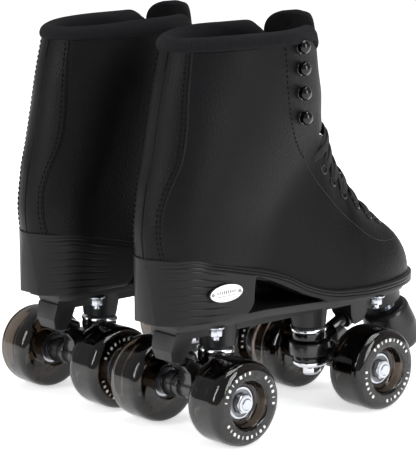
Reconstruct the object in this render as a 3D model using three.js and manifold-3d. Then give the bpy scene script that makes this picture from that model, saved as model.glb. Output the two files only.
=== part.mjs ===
// A pair of high-top quad roller skates: two mirrored boots, each on a nylon plate with two
// steerable trucks, four wheels on ball bearings and an adjustable toe stop.
//
// Units are millimetres. +Z is up, +Y points to the toes and +X to the right skate. Each skate is
// modelled about its own origin, on the floor midway between its axles, then set to its side.

import * as THREE from 'three';
import { mergeVertices } from 'three/addons/utils/BufferGeometryUtils.js';
import Module from 'manifold-3d';

const wasm = await Module();
wasm.setup();

// ---------------------------------------------------------------- driving dimensions

const SKATE_GAP = 13;             // between the two skates' nearest wheels
const GAP = 0.3;                  // clearance between pieces that rest on each other

const WHEEL_RADIUS = 29;
const WHEEL_WIDTH = 32;
const WHEEL_TREAD_WIDTH = 18;     // flat part of the rolling face
const WHEEL_LIP_RADIUS = 22;      // where the rounded shoulder meets the side face
const WHEEL_TRACK = 80;           // between the middle planes of the two wheels of one truck
const WHEELBASE = 132;
const HUB_RECESS_RADIUS = 15.5;
const HUB_RECESS_DEPTH = 8;       // outer side face to the outer bearing
const HUB_INNER_SETBACK = 3;      // inner side face to the inner bearing

const BEARING_RADIUS = 11;
const BEARING_WIDTH = 7;
const BEARING_FIT = 0.3;          // radial, wheel hub to bearing
const AXLE_RADIUS = 4;
const AXLE_FIT = 0.2;             // radial running clearance of bearing on axle
const SPACER_RADIUS = 6;
const AXLE_NUT_RADIUS = 7;
const AXLE_THREAD_SHOW = 1;       // axle end past its nut
const AXLE_END_INSET = 2;         // axle end inside the wheel's outer side face

const KINGPIN_REACH = 20.5;       // axle in to the yoke centre
const YOKE_DROP = 40;             // plate top down to the yoke centre
const KINGPIN_TILT = 4;           // degrees, foot of the pin towards the skate's end
const KINGPIN_RADIUS = 4;
const YOKE_RADIUS = 15;
const YOKE_THICKNESS = 9;
const YOKE_BORE_RADIUS = 6.5;
const CUSHION_RADIUS = 12.5;
const UPPER_CUSHION_HEIGHT = 9;
const LOWER_CUSHION_HEIGHT = 6;
const RETAINER_RADIUS = 13;
const RETAINER_THICKNESS = 2;
const KINGPIN_NUT_RADIUS = 7.5;
const KINGPIN_NUT_HEIGHT = 7;

const PIVOT_REACH = 18;           // axle out to the pivot seat
const PIVOT_DROP = 23;            // plate top down to the pivot seat
const PIVOT_RADIUS = 5;
const PIVOT_LENGTH = 13;
const PIVOT_CUP_WALL = 2;
const PIVOT_BOSS_RADIUS = 11;
const AXLE_TUBE_RADIUS = 7.5;
const AXLE_TUBE_SETBACK = 2;      // tube end inside the wheel's inner side face

const PLATE_TOP = 80;
const PLATE_FLANGE = 5;
const PLATE_DEPTH = 13;           // plate top down to the spine's bottom
const PLATE_SPINE_HALF_WIDTH = 11;
const PLATE_HEEL_SETBACK = 15.5;  // plate end inside the sole's end
const PLATE_TOE_SETBACK = 16;
const PLATE_INSET = 6;            // plate edge inside the sole edge
const PLATE_MAX_HALF_WIDTH = 34;
const KINGPIN_BOSS_RADIUS = 12;

const STOP_SETBACK = 2.4;         // plate's front end back to the rubber's top centre
const STOP_DROP = 21.8;           // plate top down to the rubber's top centre
const STOP_TILT = 24.5;           // degrees, foot forward
const STOP_TOP_RADIUS = 17;
const STOP_FOOT_RADIUS = 20;
const STOP_LENGTH = 34;
const STEM_RADIUS = 8;
const STEM_DEPTH = 16;            // length held in the rubber
const STEM_REACH = 18;            // length above the rubber
const STOP_BOSS_RADIUS = 14;

const HEEL_BACK = -109.5;         // sole unit
const HEEL_CENTRE = -69;
const HEEL_HALF_WIDTH = 30;
const BALL_CENTRE = 60;
const BALL_HALF_WIDTH = 45;
const WAIST_Y = -25;
const WAIST_HALF_WIDTH = 28.5;
const TOE_TIP = 140;
const BALL_SHIFT = -3;            // forefoot sits towards the inner side
const UPPER_INSET = 3;            // upper inside the sole edge at the ball
const SOLE_FRONT = 7;             // thickness under the ball

const LEATHER = 2.6;
const LINING = 6;                 // padded collar wall
const COLLAR_RISE = 9;            // collar roll above the leather edge
const COLLAR_DEPTH = 38;          // lining inside the leather
const COLLAR_LEVEL = 179;         // leather edge at the back of the collar, above the plate
const COLLAR_SLOPE = 4;           // degrees, rising to the front
const TONGUE_THICKNESS = 7;
const TONGUE_RISE = 17;           // above the leather edge
const TONGUE_HALF_WIDTH = 29;
const INSOLE_THICKNESS = 3;
const INSOLE_FIT = 1;             // insole to the boot's walls and floor
const LACE_RADIUS = 1.6;
const EYELET_PAIRS = 7;
const EYELET_MARGIN = 7.5;        // facing edge to eyelet centre

const BADGE_Y = -64;
const BADGE_HEIGHT = 19.5;        // above the plate
const BADGE_LENGTH = 30;
const BADGE_WIDTH = 13;
const BADGE_THICKNESS = 1.4;

const WHEEL_SIDES = 20;           // sides of a turned piece, by its size
const ROUND = 16;
const SMALL_ROUND = 12;
const AROUND_STEPS = 20;          // steps of a boot section round the foot

// ---------------------------------------------------------------- places that follow

const SKATE_SPACING = WHEEL_TRACK + WHEEL_WIDTH + SKATE_GAP;
const AXLE_Y = WHEELBASE / 2;
const KINGPIN_Y = AXLE_Y - KINGPIN_REACH;
const PIVOT_Y = AXLE_Y + PIVOT_REACH;
const YOKE_HEIGHT = PLATE_TOP - YOKE_DROP;
const PIVOT_HEIGHT = PLATE_TOP - PIVOT_DROP;
const PLATE_SPINE_BOTTOM = PLATE_TOP - PLATE_DEPTH;
const PLATE_REAR = HEEL_BACK + PLATE_HEEL_SETBACK;
const PLATE_FRONT = TOE_TIP - PLATE_TOE_SETBACK;
const STOP_Y = PLATE_FRONT - STOP_SETBACK;
const STOP_HEIGHT = PLATE_TOP - STOP_DROP;
const AXLE_TUBE_LENGTH = WHEEL_TRACK - WHEEL_WIDTH - 2 * AXLE_TUBE_SETBACK;

// ---------------------------------------------------------------- finishes

const finish = (color, roughness, metalness = 0) => ({ color, roughness, metalness });
const FINISH = {
  leather: finish(0x101113, 0.42),
  knit: finish(0x17181a, 0.95),
  lace: finish(0x1a1b1e, 0.9),
  sole: finish(0x0b0b0c, 0.45),
  board: finish(0x2b2a28, 0.9),
  plate: finish(0x121213, 0.6),
  badge: finish(0xb9bcc0, 0.22, 1),
  rubber: finish(0x171718, 0.7),
  blackMetal: finish(0x0d0e10, 0.3, 0.6),
  steel: finish(0xb4b6b8, 0.3, 1),
  chrome: finish(0xc9ccd0, 0.15, 1),
  cushion: finish(0x060607, 0.25),
  urethane: finish(0x2a211c, 0.2),
};

// ---------------------------------------------------------------- small helpers

const radians = THREE.MathUtils.degToRad;
const lerp = THREE.MathUtils.lerp;
const clamp = THREE.MathUtils.clamp;

/** A smooth function through [x, y] points, without overshoot between them. */
function curve(points) {
  const count = points.length;
  const slopes = [];
  for (let i = 0; i < count - 1; i += 1) {
    slopes.push((points[i + 1][1] - points[i][1]) / (points[i + 1][0] - points[i][0]));
  }
  const tangents = points.map((_, i) => {
    if (i === 0 || i === count - 1) return slopes[Math.min(i, count - 2)];
    const product = slopes[i - 1] * slopes[i];
    return product <= 0 ? 0 : (2 * product) / (slopes[i - 1] + slopes[i]);
  });
  return (x) => {
    const at = clamp(x, points[0][0], points[count - 1][0]);
    let i = 0;
    while (i < count - 2 && at > points[i + 1][0]) i += 1;
    const span = points[i + 1][0] - points[i][0];
    const t = (at - points[i][0]) / span;
    const rise = points[i + 1][1] - points[i][1];
    const a = span * tangents[i] - rise;
    const b = rise - span * tangents[i + 1];
    return lerp(points[i][1], points[i + 1][1], t) + t * (1 - t) * (a * (1 - t) + b * t);
  };
}

/** Positions only, shared vertices merged, faces pointing out. */
function closed(geometry) {
  const plain = geometry.clone();
  plain.deleteAttribute('normal');
  plain.deleteAttribute('uv');
  const merged = mergeVertices(plain, 1e-4);
  const p = merged.attributes.position;
  const index = Array.from(merged.index.array);
  const kept = [];
  let volume = 0;
  const [a, b, c] = [new THREE.Vector3(), new THREE.Vector3(), new THREE.Vector3()];
  for (let i = 0; i < index.length; i += 3) {
    const [i0, i1, i2] = index.slice(i, i + 3);
    if (i0 === i1 || i1 === i2 || i2 === i0) continue;
    kept.push(i0, i1, i2);
    a.fromBufferAttribute(p, i0);
    b.fromBufferAttribute(p, i1);
    c.fromBufferAttribute(p, i2);
    volume += a.dot(b.cross(c)) / 6;
  }
  merged.setIndex(volume < 0 ? kept.reverse() : kept);
  return merged;
}

/** A manifold solid from a closed three.js geometry. */
function solid(geometry) {
  const clean = closed(geometry);
  return new wasm.Manifold(new wasm.Mesh({
    numProp: 3,
    vertProperties: new Float32Array(clean.attributes.position.array),
    triVerts: new Uint32Array(clean.index.array),
  }));
}

/** A three.js geometry from a manifold solid. */
function geometryOf(manifold) {
  const mesh = manifold.getMesh();
  const geometry = new THREE.BufferGeometry();
  geometry.setAttribute('position', new THREE.BufferAttribute(mesh.vertProperties, 3));
  geometry.setIndex(Array.from(mesh.triVerts));
  return geometry;
}

const join = (...pieces) => pieces.reduce((whole, piece) => whole.add(piece));

/** A boot piece, modelled above the plate's top, set on the plate. */
const raised = (geometry) => geometry.translate(0, 0, PLATE_TOP);

/** A named mesh. */
function part(name, geometry, look) {
  const mesh = new THREE.Mesh(geometry, new THREE.MeshStandardMaterial(look));
  mesh.name = name;
  return mesh;
}

/** The same geometry on the other side of the x = 0 plane. */
function mirrored(geometry) {
  const copy = geometry.clone();
  copy.scale(-1, 1, 1);
  return copy.setIndex(Array.from(copy.index.array).reverse());
}

/** A solid turned about +Z from [radius, height] points that start and end on the axis or close. */
function turned(profile, sides = ROUND) {
  const points = profile.map(([r, h]) => new THREE.Vector2(r, h));
  return new THREE.LatheGeometry(points, sides).rotateX(Math.PI / 2);
}

/** A cylinder about +Z from height low to height high. */
const rod = (radius, low, high, sides = SMALL_ROUND) => (
  turned([[0, low], [radius, low], [radius, high], [0, high]], sides)
);

/** A ring about +Z. */
const ring = (outer, inner, low, high, sides = ROUND) => (
  turned([[inner, low], [outer, low], [outer, high], [inner, high], [inner, low]], sides)
);

/** Tips a geometry made about +Z so that its axis leans in the y-z plane, then moves it. */
function leaned(geometry, degrees, y, z) {
  return geometry.rotateX(radians(degrees)).translate(0, y, z);
}

/** A slab across the skate from [y, z] corners, between two x values. */
function acrossSlab(corners, low, high) {
  const shape = new THREE.Shape(corners.map(([y, z]) => new THREE.Vector2(y, z)));
  const slab = new THREE.ExtrudeGeometry(shape, { depth: high - low, bevelEnabled: false });
  return slab.rotateX(Math.PI / 2).rotateZ(Math.PI / 2).translate(low, 0, 0);
}

/** An upright slab from [x, y] corners, between two heights. */
function uprightSlab(corners, low, high) {
  const shape = new THREE.Shape(corners.map(([x, y]) => new THREE.Vector2(x, y)));
  const slab = new THREE.ExtrudeGeometry(shape, { depth: high - low, bevelEnabled: false });
  return slab.translate(0, 0, low);
}

// ---------------------------------------------------------------- foot form

// The boot's heights are measured from the plate's top; raised() sets its pieces on it.

const waistCurve = curve([
  [HEEL_CENTRE, HEEL_HALF_WIDTH],
  [WAIST_Y, WAIST_HALF_WIDTH],
  [lerp(WAIST_Y, BALL_CENTRE, 0.53), lerp(WAIST_HALF_WIDTH, BALL_HALF_WIDTH, 0.56)],
  [BALL_CENTRE, BALL_HALF_WIDTH],
]);
const centreCurve = curve([[WAIST_Y, 0], [BALL_CENTRE, BALL_SHIFT], [TOE_TIP, BALL_SHIFT]]);

/** Half the plan width at y of an outline drawn in from the sole edge. */
function halfWidth(y, inset = 0) {
  const rear = HEEL_CENTRE - HEEL_BACK - inset;
  const front = TOE_TIP - BALL_CENTRE - inset;
  const behind = Math.max(0, HEEL_CENTRE - y) / rear;
  const ahead = Math.max(0, y - BALL_CENTRE) / front;
  const round = Math.sqrt(Math.max(0, 1 - Math.min(1, Math.max(behind, ahead)) ** 2));
  return (waistCurve(y) - inset) * round;
}

/** The height of the seam between upper and sole. */
const seamHeight = curve([
  [-110, 44], [-90, 44], [-72, 40.5], [-46, 34.5], [-20, 28], [-6, 23], [11, 14.5], [25, 10],
  [40, SOLE_FRONT + 0.5], [60, SOLE_FRONT], [TOE_TIP, SOLE_FRONT],
]);

const TIP_Y = TOE_TIP - 6;
const TIP_HEIGHT = 15;

/** A share of the way from the ball to the toe tip. */
const forefoot = (share) => lerp(BALL_CENTRE, TOE_TIP, share);

/** The height of the instep ridge over the foot. */
const ridgeHeight = curve([
  [-110, 60], [-70, 120], [-30, 155], [10, 165], [30, 154], [45, 120], [54, 102],
  [forefoot(0.05), 86.5], [forefoot(0.1625), 73], [forefoot(0.275), 63], [forefoot(0.4), 54.5],
  [forefoot(0.575), 46.5], [forefoot(0.75), 36.5], [forefoot(0.8375), 29], [TOE_TIP - 9, 24],
  [TOE_TIP - 7, 19.5], [TIP_Y, 13],
]);

/** Leg sections: back edge ahead of the heel's back, centre, half width and front edge. */
const legBack = curve([
  [25, 5.5], [43, 2], [59, 0.5], [85, 3.5], [105, 8.5], [124, 12.5], [141, 15.5], [155, 18.5],
  [175, 23.5], [210, 31.5],
]);
const legCentre = curve([
  [25, -71], [59, -72], [85, -64], [105, -57], [124, -51], [141, -46], [175, -41], [210, -38],
]);
const legHalfWidth = curve([[25, 28], [59, 30], [85, 32], [124, 34], [155, 34], [210, 32]]);
const legFront = curve([
  [25, -10], [59, 15], [85, 35], [105, 45], [124, 47], [140, 48], [160, 44.5], [210, 38],
]);

/** A field that is negative inside the boot's outer form and zero on its surface. */
function bootField(x, y, z) {
  const width = Math.max(halfWidth(y, UPPER_INSET), 0.01);
  const base = seamHeight(y);
  const crest = Math.max(ridgeHeight(y), base + 0.01);
  const toeness = clamp((y - 55) / 55, 0, 1);
  const side = Math.abs(x - centreCurve(y)) / width;
  const level = Math.max(0, z - base) / (crest - base);
  const foot = side ** lerp(1.5, 2.2, toeness) + level ** lerp(1.6, 2.2, toeness) - 1;
  const centre = legCentre(z);
  const reach = y < centre ? centre - HEEL_BACK - legBack(z) : legFront(z) - centre;
  const leg = (x / legHalfWidth(z)) ** 2 + ((y - centre) / reach) ** 2 - 1;
  const blend = 7;
  const near = Math.min(foot, leg);
  const united = near - Math.log(1 + Math.exp(-blend * Math.abs(foot - leg))) / blend;
  return Math.max(united, (base - z) / 12);
}

// Section planes run upright through the forefoot, fan about a point ahead of the ankle and
// lie flat, then slightly raised to the front, in the leg.
const FAN = { y: 75, z: 135 };
const FAN_RADIUS = 96;
const LEG_TOP = COLLAR_LEVEL + COLLAR_RISE + TONGUE_RISE;

/** The plane of station s: 0 is the toe tip, 1 the start of the fan, 2 its end, 3 the leg top. */
function sectionPlane(s) {
  if (s <= 1) {
    const y = lerp(TIP_Y - 0.4, FAN.y, 1 - Math.cos((s * Math.PI) / 2));
    const z = lerp(TIP_HEIGHT, FAN.z - FAN_RADIUS, s);
    return { y, z, up: [0, 1], wide: 1, tall: 0.8 };
  }
  const turn = clamp(s - 1, 0, 1) * (Math.PI / 2);
  const up = [Math.sin(turn), Math.cos(turn)];
  const y = FAN.y - FAN_RADIUS * Math.sin(turn);
  const z = FAN.z - FAN_RADIUS * Math.cos(turn);
  if (s <= 2) return { y, z, up, wide: lerp(1, 0.5, s - 1), tall: lerp(0.8, 1, s - 1) };
  const slope = radians(COLLAR_SLOPE) * (s - 2);
  const level = lerp(FAN.z, LEG_TOP, s - 2);
  return { y, z: level, up: [Math.cos(slope), Math.sin(slope)], wide: 0.5, tall: 1 };
}

/** The station whose plane crosses the leg's middle at a height. */
const legStation = (height) => 2 + (height - FAN.z) / (LEG_TOP - FAN.z);

/** A point of the boot's surface: station s, turn around from the front, and depth below it. */
function bootPoint(s, around, depth = 0) {
  const plane = sectionPlane(s);
  const across = Math.sin(around) * plane.wide;
  const along = Math.cos(around) * plane.tall;
  const size = Math.hypot(across, along);
  const ray = [across / size, (along / size) * plane.up[0], (along / size) * plane.up[1]];
  const middle = centreCurve(plane.y);
  const at = (r) => [middle + r * ray[0], plane.y + r * ray[1], plane.z + r * ray[2]];
  let low = 0;
  let high = 110;
  for (let i = 0; i < 26; i += 1) {
    const r = (low + high) / 2;
    if (bootField(...at(r)) < 0) low = r;
    else high = r;
  }
  const point = at(low);
  if (depth === 0) return new THREE.Vector3(...point);
  const step = 0.8;
  const slope = [0, 1, 2].map((k) => {
    const ahead = [...point];
    const back = [...point];
    ahead[k] += step;
    back[k] -= step;
    return bootField(...ahead) - bootField(...back);
  });
  const normal = new THREE.Vector3(...slope).normalize();
  return new THREE.Vector3(...point).addScaledVector(normal, -depth);
}

/** Half the width of the throat between the facings at station s. */
const throatHalfWidth = curve([
  [0.62, 0], [0.72, 8], [0.9, 11], [1.2, 13], [1.55, 15], [1.72, 18], [1.85, 15], [2.2, 12.5],
  [3, 12],
]);
const THROAT_START = 0.66;

/** The turn at which the surface is a given distance to the side of the middle plane. */
function turnAtWidth(s, width) {
  const middle = centreCurve(sectionPlane(s).y);
  let low = 0;
  let high = Math.PI / 2;
  for (let i = 0; i < 20; i += 1) {
    const turn = (low + high) / 2;
    if (bootPoint(s, turn).x - middle < width) low = turn;
    else high = turn;
  }
  return low;
}

const throatTurn = (s) => (s < THROAT_START ? 0 : turnAtWidth(s, throatHalfWidth(s)));

/**
 * A closed solid between an outer and an inner sheet of points, both laid out in rows.
 * Rows whose ends meet make a tube there; tip closes the first row to a point.
 */
function sheetSolid(outer, inner, tips) {
  const corners = [];
  const quad = (a, b, c, d) => corners.push(a, b, c, a, c, d);
  const rows = outer.length;
  const last = outer[0].length - 1;
  for (let j = 0; j < rows - 1; j += 1) {
    for (let i = 0; i < last; i += 1) {
      quad(outer[j][i], outer[j][i + 1], outer[j + 1][i + 1], outer[j + 1][i]);
      quad(inner[j][i], inner[j + 1][i], inner[j + 1][i + 1], inner[j][i + 1]);
    }
    const open = [j, j + 1].some((k) => outer[k][0].distanceTo(outer[k][last]) > 0.01);
    if (open) {
      quad(outer[j][0], outer[j + 1][0], inner[j + 1][0], inner[j][0]);
      quad(outer[j][last], inner[j][last], inner[j + 1][last], outer[j + 1][last]);
    }
  }
  const top = rows - 1;
  for (let i = 0; i < last; i += 1) {
    quad(outer[top][i], outer[top][i + 1], inner[top][i + 1], inner[top][i]);
    if (tips) {
      corners.push(outer[0][i + 1], outer[0][i], tips[0]);
      corners.push(inner[0][i], inner[0][i + 1], tips[1]);
    } else {
      quad(outer[0][i], inner[0][i], inner[0][i + 1], outer[0][i + 1]);
    }
  }
  return closed(mergeVertices(new THREE.BufferGeometry().setFromPoints(corners), 1e-3));
}

/** One row of surface points from the right facing round the back to the left one. */
function surfaceRow(s, start, depth, steps) {
  return Array.from({ length: steps + 1 }, (_, i) => {
    const around = i === steps && start === 0 ? 0 : lerp(start, 2 * Math.PI - start, i / steps);
    return bootPoint(s, around, depth);
  });
}

// ---------------------------------------------------------------- boot pieces

const SPAN = BALL_HALF_WIDTH + 10;   // half the width of a cutting slab
const BEHIND = HEEL_BACK - 2.5;      // where cutting slabs start and end
const AHEAD = TOE_TIP + 2;
const seamStations = [
  BEHIND, -90, -78, -65, -50, -35, -20, -6, 3, 11, 18, 25, 32, 40, 52, AHEAD,
];

/** The seam between upper and sole as [y, z] points, lifted. */
const seamLine = (lift) => seamStations.map((y) => [y, seamHeight(y) + lift]);

const TOP_STATION = legStation(COLLAR_LEVEL);
const LEG_STATION = lerp(2, TOP_STATION, 0.5564);
const BOOT_STATIONS = [
  0.08, 0.24, 0.42, THROAT_START - 0.02, 0.74, 0.88, 1.05, 1.2, 1.34, 1.48, 1.6, 1.67, 1.715,
  1.8, 2, LEG_STATION, TOP_STATION,
];

/** A shell of the boot's form, open at the collar and down the throat. */
function bootShell(wall) {
  const outer = [];
  const inner = [];
  for (const s of BOOT_STATIONS) {
    const start = throatTurn(s);
    outer.push(surfaceRow(s, start, 0, AROUND_STEPS));
    inner.push(surfaceRow(Math.max(s, 0.12), start, wall, AROUND_STEPS));
  }
  const middle = centreCurve(TIP_Y);
  const tips = [
    new THREE.Vector3(middle, TIP_Y, TIP_HEIGHT),
    new THREE.Vector3(middle, TIP_Y - wall, TIP_HEIGHT),
  ];
  return solid(sheetSolid(outer, inner, tips));
}

/** The leather upper, flat on the sole. */
function upper() {
  const shell = bootShell(LEATHER).subtract(insoleBoard(GAP));
  const below = [...seamLine(0), [AHEAD, -20], [BEHIND, -20]];
  return geometryOf(shell.subtract(solid(acrossSlab(below, -SPAN, SPAN))));
}

/** A closed solid that fills the boot up to the leg's top, drawn in by depth. */
function cavity(depth) {
  const rows = [...BOOT_STATIONS, 3].map((s) => (
    surfaceRow(Math.max(s, 0.12), throatTurn(s), depth, AROUND_STEPS)
  ));
  const corners = [];
  const top = rows.length - 1;
  const tip = new THREE.Vector3(centreCurve(TIP_Y), TIP_Y - depth, TIP_HEIGHT);
  const lid = rows[top].reduce((sum, p) => sum.add(p), new THREE.Vector3());
  lid.divideScalar(rows[top].length);
  for (let i = 0; i <= AROUND_STEPS; i += 1) {
    const next = (i + 1) % (AROUND_STEPS + 1);
    corners.push(rows[0][next], rows[0][i], tip, rows[top][i], rows[top][next], lid);
    for (let j = 0; j < top; j += 1) {
      corners.push(rows[j][i], rows[j][next], rows[j + 1][next]);
      corners.push(rows[j][i], rows[j + 1][next], rows[j + 1][i]);
    }
  }
  return solid(mergeVertices(new THREE.BufferGeometry().setFromPoints(corners), 1e-3));
}

/** The knit lining band inside the collar, rolled out above the leather edge. */
function collarLining() {
  const level = (height) => legStation(COLLAR_LEVEL + height);
  const inside = LEATHER + 2 * GAP;
  const section = [
    [level(-COLLAR_DEPTH), inside],
    [LEG_STATION, inside],
    [level(GAP), inside],
    [level(GAP), 0.2],
    [level(COLLAR_RISE * 0.6), 0],
    [level(COLLAR_RISE), LINING * 0.4],
  ];
  const row = (s, depth) => surfaceRow(s, throatTurn(s), depth, AROUND_STEPS);
  const outer = section.map(([s, depth]) => row(s, depth));
  const inner = section.map(([s, depth], i) => {
    const wall = i === section.length - 1 ? LINING : inside + LINING;
    return row(s, Math.max(depth + 1, wall));
  });
  return sheetSolid(outer, inner);
}

const tongueHalfWidth = curve([
  [0.74, 10], [1.2, 19], [1.7, 25], [2.2, TONGUE_HALF_WIDTH], [3, TONGUE_HALF_WIDTH],
]);

/** The padded tongue, under the facings and standing above the collar. */
function tongue() {
  const middle = lerp(2, TOP_STATION, 0.48);
  const stations = [0.74, 0.95, 1.2, 1.45, 1.7, 1.9, middle, TOP_STATION, 3 - 0.02];
  const steps = 6;
  const sheet = (depth) => stations.map((s) => {
    const half = turnAtWidth(s, tongueHalfWidth(s));
    return Array.from({ length: steps + 1 }, (_, i) => (
      bootPoint(s, lerp(-half, half, i / steps), depth(s))
    ));
  });
  const under = LEATHER + 2 * GAP;
  const behind = curve([
    [legStation(COLLAR_LEVEL - COLLAR_DEPTH - 40), under],
    [legStation(COLLAR_LEVEL - COLLAR_DEPTH - 10), under + LINING + 2 * GAP],
    [3, under + LINING + 2 * GAP],
  ]);
  const pad = solid(sheetSolid(sheet(behind), sheet((s) => behind(s) + TONGUE_THICKNESS)));
  return geometryOf(pad.subtract(bootShell(LEATHER + GAP)));
}

/** The eyelet stations, from the toe end of the throat to the notch. */
const eyeletStation = (k) => lerp(0.76, 1.62, k / (EYELET_PAIRS - 1));

/** The surface turn of an eyelet on the +x side. */
const eyeletTurn = (s) => turnAtWidth(s, throatHalfWidth(s) + EYELET_MARGIN);

/** The lace: crossed strands between eyelet pairs and a bar at each end, as one body. */
function laces() {
  const above = -(LACE_RADIUS + 5 * GAP);
  const strand = (fromStation, fromTurn, toStation, toTurn) => {
    const points = Array.from({ length: 5 }, (_, i) => {
      const t = i / 4;
      return bootPoint(lerp(fromStation, toStation, t), lerp(fromTurn, toTurn, t), above);
    });
    const path = new THREE.CatmullRomCurve3(points);
    const r = LACE_RADIUS;
    const section = new THREE.Shape([[r, 0], [0, r], [-r, 0], [0, -r]].map(
      ([x, y]) => new THREE.Vector2(x, y),
    ));
    const tube = new THREE.ExtrudeGeometry(section, {
      steps: 4, extrudePath: path, bevelEnabled: false,
    });
    return solid(tube);
  };
  const strands = [];
  for (let k = 0; k < EYELET_PAIRS - 1; k += 1) {
    const low = eyeletStation(k);
    const high = eyeletStation(k + 1);
    strands.push(strand(low, eyeletTurn(low), high, -eyeletTurn(high)));
    strands.push(strand(low, -eyeletTurn(low), high, eyeletTurn(high)));
  }
  for (const s of [eyeletStation(0), eyeletStation(EYELET_PAIRS - 1)]) {
    strands.push(strand(s, -eyeletTurn(s), s, eyeletTurn(s)));
  }
  return closed(geometryOf(join(...strands)));
}

/** The plan outline of the sole, drawn in by inset, between two y values. */
function planOutline(inset, rear, front, limit = Infinity) {
  const steps = 15;
  const ys = Array.from({ length: steps + 1 }, (_, i) => (
    lerp(rear, front, (1 - Math.cos((Math.PI * i) / steps)) / 2)
  ));
  const side = (sign) => ys.map((y) => {
    const width = Math.min(halfWidth(y, inset), limit);
    return [centreCurve(y) + sign * Math.max(width, 0), y];
  });
  const points = [...side(1), ...side(-1).reverse()];
  return points.filter(([x, y], i) => {
    const [px, py] = points[(i + points.length - 1) % points.length];
    return Math.hypot(x - px, y - py) > 0.5;
  });
}

/** The slab between two height functions of y, trimmed to a plan outline. */
function soleLayer(outline, corners) {
  const low = Math.min(...corners.map(([, z]) => z)) - 1;
  const high = Math.max(...corners.map(([, z]) => z)) + 1;
  const slab = solid(acrossSlab(corners, -SPAN, SPAN));
  return slab.intersect(solid(uprightSlab(outline, low, high)));
}

/** The moulded sole: a high heel block, an open arch under the waist and a thin forefoot. */
function outsole() {
  const underside = [
    [AHEAD, GAP], [27, GAP], [22.7, 3], [13, 6.1], [-4, 13.5], [-18.5, 20.3], [-33, 24.7],
    [-35, 18], [-35.5, 8], [-38, 3.5], [-43, GAP], [BEHIND, GAP],
  ];
  const outline = planOutline(0, HEEL_BACK, TOE_TIP);
  return geometryOf(soleLayer(outline, [...seamLine(-GAP), ...underside]));
}

/** The insole board on the floor of the boot, grown all round by room. */
function insoleBoard(room) {
  const lift = LEATHER + INSOLE_FIT;
  const front = TOE_TIP - UPPER_INSET - 2 * lift;
  const outline = planOutline(UPPER_INSET, HEEL_BACK + UPPER_INSET, front);
  const top = seamLine(lift + INSOLE_THICKNESS + room);
  const corners = [...top, ...seamLine(lift - room).reverse()];
  return soleLayer(outline, corners).intersect(cavity(lift - room));
}

/** The oval badge on the outer side of the heel. */
function badge() {
  const oval = new THREE.Shape().absellipse(0, 0, BADGE_LENGTH / 2, BADGE_WIDTH / 2, 0, 2 * Math.PI);
  const plate = new THREE.ExtrudeGeometry(oval, {
    depth: BADGE_THICKNESS, curveSegments: 10, bevelEnabled: false,
  });
  plate.rotateX(Math.PI / 2).rotateZ(Math.PI / 2);
  return closed(plate.translate(HEEL_HALF_WIDTH + GAP, BADGE_Y, BADGE_HEIGHT));
}

// ---------------------------------------------------------------- plate and toe stop

// The steering axis runs from the pivot seat down to the middle of the yoke.
const STEERING_ANGLE = Math.atan2(PIVOT_HEIGHT - YOKE_HEIGHT, PIVOT_Y - KINGPIN_Y);
const STEERING_LEAN = 90 - THREE.MathUtils.radToDeg(STEERING_ANGLE);
const PIN_STACK = YOKE_THICKNESS / 2 + GAP + UPPER_CUSHION_HEIGHT + GAP + RETAINER_THICKNESS;
const BOSS_START = PIN_STACK + GAP;

/** Places a geometry made about +Z, with its origin at the yoke centre, on the kingpin axis. */
const onKingpin = (geometry) => leaned(geometry, KINGPIN_TILT, KINGPIN_Y, YOKE_HEIGHT);

/** Places a geometry made about +Z on the steering axis, +Z pointing past the pivot. */
const onSteering = (geometry) => leaned(geometry, -STEERING_LEAN, PIVOT_Y, PIVOT_HEIGHT);

/** Places a geometry made about +Z on the toe stop axis, +Z pointing up. */
const onStop = (geometry) => leaned(geometry, STOP_TILT, STOP_Y, STOP_HEIGHT);

const turnedRound = (geometry) => geometry.rotateZ(Math.PI);

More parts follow.
